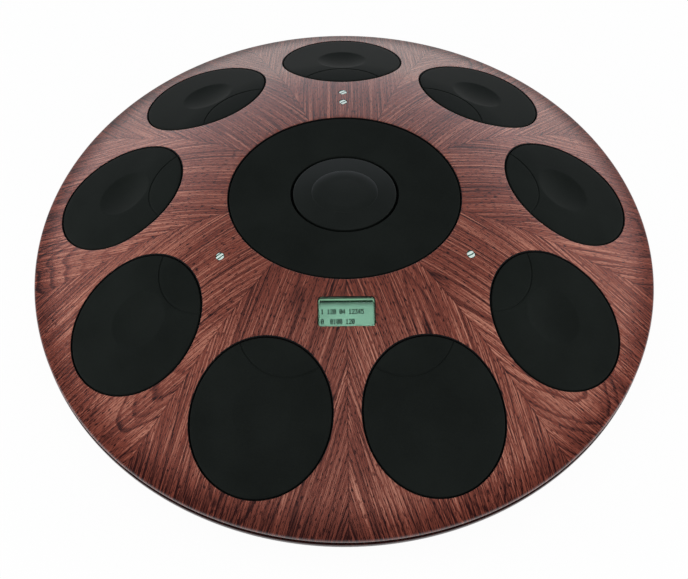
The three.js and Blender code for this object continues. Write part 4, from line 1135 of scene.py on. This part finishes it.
class HANDPAN_OT_stage(bpy.types.Operator):
    """Sets up the floor, the light and the photograph's camera"""

    bl_idname = "handpan.stage"
    bl_label = "Stage"

    def execute(self, context):
        scene = context.scene
        scene.view_settings.view_transform = "Standard"
        self.floor()
        self.studio(scene, scene.handpan_stage)
        self.lamps(scene, scene.handpan_stage)
        self.camera(scene, scene.handpan_stage)
        return {"FINISHED"}

    def floor(self):
        """A floor that takes shadow but shows white."""
        material, add = blank("studio_floor")
        dressed(material, {"Base Color": (*finish().floor, 1), "Roughness": 0.9, "Specular IOR Level": 0.0})
        tree = material.node_tree
        paths = add("ShaderNodeLightPath").outputs
        seen = add(MATH, (paths["Is Camera Ray"], paths["Is Glossy Ray"]), "MAXIMUM")
        seen = add(MATH, (seen, paths["Is Transmission Ray"]), "MAXIMUM")
        share = add(MATH, (seen, 0.96), "MULTIPLY")
        white = add("ShaderNodeEmission", {"Color": (1, 1, 1, 1), "Strength": 1.0})
        both = add("ShaderNodeMixShader", (share, tree.nodes["Principled BSDF"], white))
        feed(tree, tree.nodes["Material Output"], {"Surface": both})
        across, corner, count = 12.0, 1.0, 32
        floor = make("studio_floor", (rounded(across, across, corner, 0, count), [range(count)]), material)

    def studio(self, scene, stage):
        """White to just over the horizon, then dimmer, so that only surfaces seen at a low angle gleam."""
        world = bpy.data.worlds.new("studio")
        world.use_nodes = True
        scene.world = world
        tree = world.node_tree
        add = partial(node, tree)
        toward = add(SPLIT, (add(PLACE).outputs["Generated"],)).outputs
        white = stage.horizon
        levels = ((0.06, white), (0.24, 0.42 * white), (0.45, 0.24 * white), (0.85, stage.zenith))
        fade = add(RAMP, (toward["Z"],), stops=[(at, (level,) * 3) for at, level in levels])
        # A tall white screen behind the object
        behind = add(RANGE, (toward["Y"], 0.35, 0.85), interpolation_type="SMOOTHSTEP")
        under_top = add(RANGE, (toward["Z"], 0.5, 0.88, white, 0), interpolation_type="SMOOTHSTEP")
        screen = add(MATH, (behind, under_top), "MULTIPLY")
        light = add(MATH, (fade, screen), "MAXIMUM")
        # The camera sees plain white
        paths = add("ShaderNodeLightPath").outputs
        shown = add(MATH, (paths["Is Camera Ray"], paths["Is Transmission Ray"]), "MAXIMUM")
        level = add(MATH, (light, shown), "MAXIMUM")
        cool = {"Factor": shown, "A": (0.87, 0.91, 1, 1), "B": (1, 1, 1, 1)}
        tint = add("ShaderNodeMix", cool, data_type="RGBA").outputs[2]
        feed(tree, tree.nodes["Background"], {"Color": tint, "Strength": level})

    def lamps(self, scene, stage):
        """A round lamp overhead and a strip at each side, which light without showing in a gloss."""
        for name, shape, power, spot, size in (
            ("overhead", "ELLIPSE", stage.lamp, (-0.12, -0.55, 1.6), (1.6, 1.6)),
            ("left_strip", "RECTANGLE", stage.strip, (-1.4, -0.15, 0.5), (1.1, 0.3)),
            ("right_strip", "RECTANGLE", stage.strip, (1.4, -0.15, 0.5), (1.1, 0.3)),
        ):
            lamp = bpy.data.lights.new(name, "AREA")
            lamp.shape = shape
            lamp.size, lamp.size_y = size
            lamp.energy = power
            holder = bpy.data.objects.new(name, lamp)
            holder.location = spot
            sight = Vector((0, 0, 100 * MM)) - holder.location
            holder.rotation_euler = sight.to_track_quat("-Z", "Y").to_euler()
            holder.visible_glossy = holder.visible_camera = False
            scene.collection.objects.link(holder)

    def camera(self, scene, stage):
        """The camera that took the photograph."""
        back = Vector((0, -math.cos(stage.elevation), math.sin(stage.elevation)))
        right = Vector((1, 0, 0))
        level = Matrix((right, back.cross(right), back))
        look = Matrix.Rotation(stage.roll, 3, "Z") @ Matrix.Rotation(stage.pitch, 3, "X")
        look = look @ Matrix.Rotation(stage.yaw, 3, "Y") @ level
        crown = Vector((0, 0, shells().crown_height))
        camera = bpy.data.cameras.new("photo_camera")
        camera.sensor_width = 36
        camera.lens = FOCAL_PIXELS * camera.sensor_width / PHOTO_WIDTH
        camera.clip_start, camera.clip_end = 0.01, 100
        holder = bpy.data.objects.new("photo_camera", camera)
        stand = Matrix.Translation(crown + back * stage.distance) @ look.transposed().to_4x4()
        holder.matrix_world = Matrix.Rotation(stage.azimuth, 4, "Z") @ stand
        scene.collection.objects.link(holder)
        scene.camera = holder


class HANDPAN_OT_shells(bpy.types.Operator):
    """Turns the two walnut shells and lays the gasket in the seam between them"""

    bl_idname = "handpan.shells"
    bl_label = "Shells and gasket"

    def execute(self, context):
        self.top()
        self.bottom()
        self.gasket()
        return {"FINISHED"}

    def top(self):
        """The domed top with its pockets, its screw holes and the places for dots and display."""
        size, body = pads(), shells()
        shell = make("walnut_top", top_blank(), oiled_walnut())
        hole = size.radius + size.gap
        ring = round_the_body(pocket(hole, hole, 144, (0, size.ring)), PADS)
        cut(shell, on_dome(make("pockets", together(ring, pocket(size.ding_x, size.ding_y, 192)))))
        pilot, start, end, point = 2.3, 30, 58, 60.3
        drill = turned([(0, start), (pilot, start), (pilot, end), (0, point)], 16)
        drills = round_the_body(drill, PADS, body.screw_ring, FIRST_SCREW)
        dot = rod(3.5, -1.3, 6, 48)
        dots = [moved(dot, seat(f"inlay_dot_{i + 1}")) for i in range(DOTS)]
        # From the cover's middle: the sight opening, and the wider recess for the board behind it
        sight, rear = (43.5 * MM, 23.9 * MM, 2.9 * MM), (50.7 * MM, 31.1 * MM, 0.3 * MM)
        levels = ((rear, -30), (rear, -6), (sight, -6), (sight, 10))
        opening = loft([rounded(*form, z * MM, 48) for form, z in levels])
        cut(shell, together(drills, *dots, moved(opening, seat("lcd_window"))))
        # Painted shade: the pockets' walls and floors are made black
        self.paint_pocket_shade(shell.data)
        settle(shell, "body", "walnut", "top_shell")

    def paint_pocket_shade(self, mesh):
        """Gives the walls and floors under the dome's own surface the black of painted shade."""
        body = shells()
        skin, back, limit = 0.1 * MM, body.wall - 1 * MM, body.screw_ring + 8 * MM
        mesh.materials.clear()
        for material in (oiled_walnut(), pocket_shade_black()):
            mesh.materials.append(material)
        for face in mesh.polygons:
            r = math.hypot(face.center.x, face.center.y)
            depth = dome_height(r) - face.center.z
            face.material_index = int(r < limit and skin < depth < back)

    def bottom(self):
        """The bowl with its bay, its posts for the board and its holes for screws and feet."""
        body = shells()
        outside, inside = bowl_blank()
        shell = make("walnut_bowl", outside, oiled_walnut())
        cavity = make("bowl_cavity", inside)
        span, wall, bay_y = 2 * body.radius, body.bay_wall, body.bay_back + body.radius
        housing = plate(body.bay_width + 2 * wall, span, 0.2 * MM, (0, 90 * MM), middle=(0, bay_y - wall))
        post = rod(5, 8, 20, 24)
        spots = [(x * MM, y * MM, 0) for x in (-65, 65) for y in (15, 105)]
        posts = [moved(post, Matrix.Translation(spot)) for spot in spots]
        cut(cavity, together(housing, *posts))
        cut(shell, cavity)
        bay = plate(body.bay_width, span, 2 * MM, (-30 * MM, body.bay_top), middle=(0, bay_y))
        bearing, end, head, shank = body.screw_seat, 70 * MM, 4.3 * MM, 2.3 * MM
        profile = [(0, 0), (head, 0), (head, bearing), (shank, bearing), (shank, end), (0, end)]
        way = revolve(profile, 32)
        ways = round_the_body(way, PADS, body.screw_ring, FIRST_SCREW)
        peg = rod(4.3, 0, 11.3, 32)
        pegs = round_the_body(peg, FEET, foot_ring(), FIRST_FOOT)
        cut(shell, together(bay, ways, pegs))
        low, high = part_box("port_panel")
        lap, width, depth = 2.5 * MM, 106 * MM, 30 * MM
        window = plate(width, depth, 0.2 * MM, (low.z + lap, high.z - lap), middle=(0, body.bay_back))
        cut(shell, window)
        settle(shell, "body", "walnut", "bottom_shell")

    def gasket(self):
        """A flat ring of rubber with a round outer edge."""
        low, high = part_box("rim_gasket")
        inner, outer, half = 245 * MM, 257.5 * MM, (high.z - low.z) / 2
        edge = arc(outer - half, low.z + half, half, QUARTER, -QUARTER, 8)
        section = [(inner, low.z), (inner, high.z), *edge]
        ring = make("seam_gasket", revolve(section, 32 * PADS, cyclic=True), extruded_rubber())
        settle(ring, "body", "black_rubber", "rim_gasket")


class HANDPAN_OT_tone_pads(bpy.types.Operator):
    """Moulds the nine tone pads of the ring"""

    bl_idname = "handpan.tone_pads"
    bl_label = "Tone pads"

    def execute(self, context):
        for i in range(PADS):
            name = f"tone_pad_{i + 1}"
            pad = make(f"{name}_silicone", tone_pad_form(), moulded_silicone())
            on_dome(cut(pad, arc_groove_form()), PAD_STEP * i)
            settle(pad, name, "silicone", name)
        return {"FINISHED"}


class HANDPAN_OT_ding(bpy.types.Operator):
    """Moulds the ding: its shoulder ring and its capped middle pad"""

    bl_idname = "handpan.ding"
    bl_label = "Ding"

    def execute(self, context):
        size = pads()
        half_x, half_y = size.ding_x - size.gap, size.ding_y - size.gap
        form = oval_ring(half_x, half_y, size.center_x, size.center_y, -size.thickness, 0, size.edge, 192)
        ring = on_dome(make("ding_shoulder_silicone", form, moulded_silicone()))
        settle(ring, "ding_shoulder", "silicone", "ding_shoulder")
        middle = on_dome(make("ding_center_silicone", ding_center_form(), polished_silicone()))
        settle(middle, "ding_center", "silicone", "ding_center")
        return {"FINISHED"}


class HANDPAN_OT_sensors(bpy.types.Operator):
    """Cuts the foam sensors under the pads"""

    bl_idname = "handpan.sensors"
    bl_label = "Foam sensors"

    def execute(self, context):
        size, lean = pads(), shells().flank_angle
        inset, up = size.sensor_inset, Vector((0, 0, 1))
        out = Vector((0, math.sin(lean), math.cos(lean)))
        for i in range(PADS):
            form = foam_disc_form(size.radius - inset, size.radius - inset, (0, size.ring))
            foam = make(f"tone_sensor_{i + 1}_foam", form, sensor_foam())
            settle(on_dome(foam, PAD_STEP * i), "body", "foam", f"tone_sensor_{i + 1}")
            normal = Matrix.Rotation(PAD_STEP * i, 3, "Z") @ out
            self.press(foam, f"tone_pad_{i + 1}_press", normal, size.travel * math.cos(lean))
        high = -size.thickness - size.sensor_gap
        low, rounding = high - size.sensor_thickness, 0.6 * MM
        outline = (size.ding_x - inset, size.ding_y - inset, size.center_x + inset, size.center_y + inset)
        forms = {
            "ding_shoulder": oval_ring(*outline, low, high - 0.2 * MM, rounding, 128),
            "ding_center": foam_disc_form(size.center_x - inset, size.center_y - inset),
        }
        for name, form in forms.items():
            foam = on_dome(make(f"{name}_foam", form, sensor_foam()))
            settle(foam, "body", "foam", f"{name}_sensor")
            self.press(foam, f"{name}_press", up, size.travel)
        return {"FINISHED"}

    def press(self, foam, joint, normal, travel):
        """Gives the foam a mesh of its own."""
        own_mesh(foam)


class HANDPAN_OT_inlay_dots(bpy.types.Operator):
    """Sets the four shell dots into the dome"""

    bl_idname = "handpan.inlay_dots"
    bl_label = "Inlay dots"

    def execute(self, context):
        radius, edge = 3.2, 0.25
        rim = arc(radius - edge, 0.9 - edge, edge, 0, QUARTER, 4)
        form = turned([(0, -1), (radius, -1), *rim, (1.6, 0.98), (0, 1)], 64)
        for i in range(DOTS):
            name = f"inlay_dot_{i + 1}"
            fit(f"{name}_shell", form, seat(name), striped_shell(), "body", "shell_inlay", name)
        return {"FINISHED"}


class HANDPAN_OT_display(bpy.types.Operator):
    """Builds the display: its cover, its glass cell with a contact strip, its board and the dots it shows"""

    bl_idname = "handpan.display"
    bl_label = "Display"

    def execute(self, context):
        place = seat("lcd_window")
        width, height, corner, count = 42.1 * MM, 22.5 * MM, 2.2 * MM, 64
        # How much narrower each ring of the cover is, and its height, in millimetres
        rows = ((0.6, -0.9), (0, -0.6), (0, 0.3), (0.36, 0.72), (1.2, 0.9))
        cover = loft([rounded(width - w * MM, height - w * MM, corner, z * MM, count) for w, z in rows])
        fit("display_cover", cover, place, cover_glass(), "body", "display_glass", "lcd_window")
        board_face, lower_face, upper_face = -6.3 * MM, -2.3 * MM, -1.2 * MM
        lower = plate(width, height, corner, (board_face, lower_face), count)
        fit("display_lower_glass", lower, place, display_strip(), "body", "display_green", "lcd_module")
        strip, border, bevel = 3.2 * MM, 0.6 * MM, 0.1 * MM
        across, along, middle = width - 2 * border, height - strip - border, (0, (border - strip) / 2)
        rows = ((0, lower_face), (0, upper_face - bevel), (2 * bevel, upper_face))
        upper = loft([rounded(across - w, along - w, corner - border, z, count, middle) for w, z in rows])
        fit("display_field", upper, place, display_green(), "body", "display_green")
        thick, levels = 1.5 * MM, (lower_face, upper_face - bevel / 2)
        middle = (0, height / 2 - strip + thick / 2)
        seal = plate(width - 4 * border, thick, 0.3 * MM, levels, middle=middle)
        fit("display_seal", seal, place, display_seal(), "body", "display_green")
        margin, rear = 8 * MM, -7.9 * MM
        board = plate(width + margin, height + margin, 0.5 * MM, (rear, board_face))
        fit("display_board", board, place, solder_mask(), "body", "circuit_board")
        self.digits(place, upper_face + bevel / 10)
        return {"FINISHED"}

    def digits(self, place, level):
        """Two rows of plain numbers in dots."""
        step_x, step_y, row_step, columns = 0.385 * MM, 0.57 * MM, 7.9 * MM, 6
        left, top, dot = -18.9 * MM, 2.3 * MM, (0.66 * MM, 0.72 * MM, 0.04 * MM)
        points = []
        for row, text in enumerate(DISPLAY_ROWS):
            for at, sign in enumerate(text):
                for y, marks in enumerate(DIGITS.get(sign, ())):
                    height = top - row * row_step - y * step_y
                    lit = [at * columns + x for x, mark in enumerate(marks) if mark == "#"]
                    points += [(left + column * step_x, height, level) for column in lit]
        ink = make("display_digits", (points, []), display_ink())
        grow(ink, display_dots(), {"Dot Size": dot})
        ink.data.transform(place)
        settle(ink, "body", "display_green")


class HANDPAN_OT_feet(bpy.types.Operator):
    """Pushes the four rubber feet into the base"""

    bl_idname = "handpan.feet"
    bl_label = "Feet"

    def execute(self, context):
        feet = make("rubber_feet", foot_form(), extruded_rubber())
        on_ring(feet, FEET, foot_ring(), FIRST_FOOT, math.tau / FEET)
        settle(feet, "body", "black_rubber", *[f"foot_{i + 1}" for i in range(FEET)])
        return {"FINISHED"}


class HANDPAN_OT_screws(bpy.types.Operator):
    """Drives the nine screws that join the shells"""

    bl_idname = "handpan.screws"
    bl_label = "Screws"

    def execute(self, context):
        screws = make("steel_screws", screw_form(), zinc_steel())
        on_ring(screws, PADS, shells().screw_ring, FIRST_SCREW, PAD_STEP)
        settle(screws, "body", "screw_steel", *[f"shell_screw_{i + 1}" for i in range(PADS)])
        return {"FINISHED"}


class HANDPAN_OT_sockets(bpy.types.Operator):
    """Builds the panel in the bay and its sockets"""

    bl_idname = "handpan.sockets"
    bl_label = "Panel and sockets"

    def execute(self, context):
        self.panel()
        self.dial()
        for name in ("headphone_jack", "line_out_jack"):
            place = panel_place(name)
            fit(f"{name}_barrel", jack_barrel_form(), place, nickel_plate(), "body", "nickel", name)
            fit(f"{name}_case", jack_case_form(), place, moulded_abs(), "body", "black_plastic")
        place = panel_place("usb_socket")
        fit("usb_mouth", usb_mouth_form(), place, nickel_plate(), "body", "nickel", "usb_socket")
        wide, thick, corner, levels = 6.3 * MM, 0.7 * MM, 0.15 * MM, (-9.8 * MM, -1.2 * MM, -1 * MM)
        tongue = plate(wide, thick, corner, levels)
        fit("usb_tongue", tongue, place, moulded_abs(), "body", "black_plastic")
        return {"FINISHED"}

    def panel(self):
        """The panel, with a hole for each socket and control."""
        low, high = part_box("port_panel")
        width, height, corner, soft = high.x - low.x, high.z - low.z, 4 * MM, 0.35 * MM
        rows = ((0, -2 * MM), (0, -soft), (soft, 0))
        rings = [rounded(width - 2 * w, height - 2 * w, corner - w, z, 64) for w, z in rows]
        panel = make("bay_panel", moved(loft(rings), panel_place()), anodised_aluminium())
        reach = 9
        control, jack = [rod(radius, -reach, reach, 48) for radius in (4.3, 4.8)]
        slot = plate(9.6 * MM, 4 * MM, 1.9 * MM, (-reach * MM, reach * MM), 48)
        holes = {
            "power_button": control,
            "headphone_jack": jack,
            "line_out_jack": jack,
            "preset_knob": control,
            "volume_knob": control,
            "usb_socket": slot,
        }
        cut(panel, together(*[moved(hole, panel_place(name)) for name, hole in holes.items()]))
        settle(panel, "body", "anodised_panel", "port_panel")

    def dial(self):
        """Eleven painted ticks round the volume knob, over its turn of 300 degrees."""
        long, wide, corner, paint = 0.9 * MM, 0.35 * MM, 0.1 * MM, 0.04 * MM
        tick = plate(long, wide, corner, (0, paint))
        ticks = make("volume_ticks", tick, marking_paint())
        count, radius, sweep = 11, 8.7 * MM, math.radians(300)
        on_ring(ticks, count, radius, -QUARTER - sweep / 2, sweep / (count - 1))
        ticks.data.transform(panel_place("volume_knob"))
        settle(ticks, "body", None)


class HANDPAN_OT_controls(bpy.types.Operator):
    """Builds the two knobs and the power button"""

    bl_idname = "handpan.controls"
    bl_label = "Controls"

    def execute(self, context):
        wide, long, corner, below, face = 0.8 * MM, 3.4 * MM, 0.2 * MM, 14.2 * MM, 14.69 * MM
        pointer = plate(wide, long, corner, (below, face), middle=(0, -5 * MM))
        for name in ("preset_knob", "volume_knob"):
            fit(f"{name}_grip", knob_form(), panel_place(name), moulded_abs(), name, "black_plastic", name)
            fit(f"{name}_pointer", pointer, panel_place(name), marking_paint(), name, None)
        name = "power_button"
        fit(f"{name}_cap", button_form(), panel_place(name), nickel_plate(), name, "nickel", name)
        return {"FINISHED"}


class HANDPAN_OT_inside(bpy.types.Operator):
    """Gives the pieces inside the body, which keep their frame's shapes, their finishes"""

    bl_idname = "handpan.inside"
    bl_label = "Inside"

    def execute(self, context):
        finishes = {
            "main_board": solder_mask(),
            "battery_pack": shrink_film(),
            "battery_tray": moulded_abs(),
            "lcd_ribbon": flat_cable(),
            "io_ribbon": flat_cable(),
            "power_switch": moulded_abs(),
            "preset_encoder": nickel_plate(),
            "volume_pot": nickel_plate(),
        }
        for name, material in finishes.items():
            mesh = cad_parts[name].data
            mesh.materials.clear()
            mesh.materials.append(material)
        return {"FINISHED"}


class HANDPAN_PT_pieces(bpy.types.Panel):
    """Lists the pieces of the handpan"""

    bl_idname = "HANDPAN_PT_pieces"
    bl_label = "Handpan"
    bl_space_type = "VIEW_3D"
    bl_region_type = "UI"
    bl_category = "Handpan"

    def draw(self, context):
        for step in STEPS:
            self.layout.operator(step.bl_idname)


STEPS = (
    HANDPAN_OT_stage,
    HANDPAN_OT_shells,
    HANDPAN_OT_tone_pads,
    HANDPAN_OT_ding,
    HANDPAN_OT_sensors,
    HANDPAN_OT_inlay_dots,
    HANDPAN_OT_display,
    HANDPAN_OT_feet,
    HANDPAN_OT_screws,
    HANDPAN_OT_sockets,
    HANDPAN_OT_controls,
    HANDPAN_OT_inside,
)
GROUPS = {
    "handpan_shells": HandpanShells,
    "handpan_pads": HandpanPads,
    "handpan_finish": HandpanFinish,
    "handpan_stage": HandpanStage,
}


def register():
    for kind in (*GROUPS.values(), *STEPS, HANDPAN_PT_pieces):
        bpy.utils.register_class(kind)
    for name, group in GROUPS.items():
        setattr(bpy.types.Scene, name, bpy.props.PointerProperty(type=group))


def unregister():
    for name in GROUPS:
        delattr(bpy.types.Scene, name)
    for kind in (HANDPAN_PT_pieces, *reversed(STEPS), *reversed(GROUPS.values())):
        bpy.utils.unregister_class(kind)


def main():
    """Registers the add-on and builds every piece."""
    register()
    for step in STEPS:
        group, name = step.bl_idname.split(".")
        getattr(getattr(bpy.ops, group), name)()


if __name__ == "__main__":
    main()
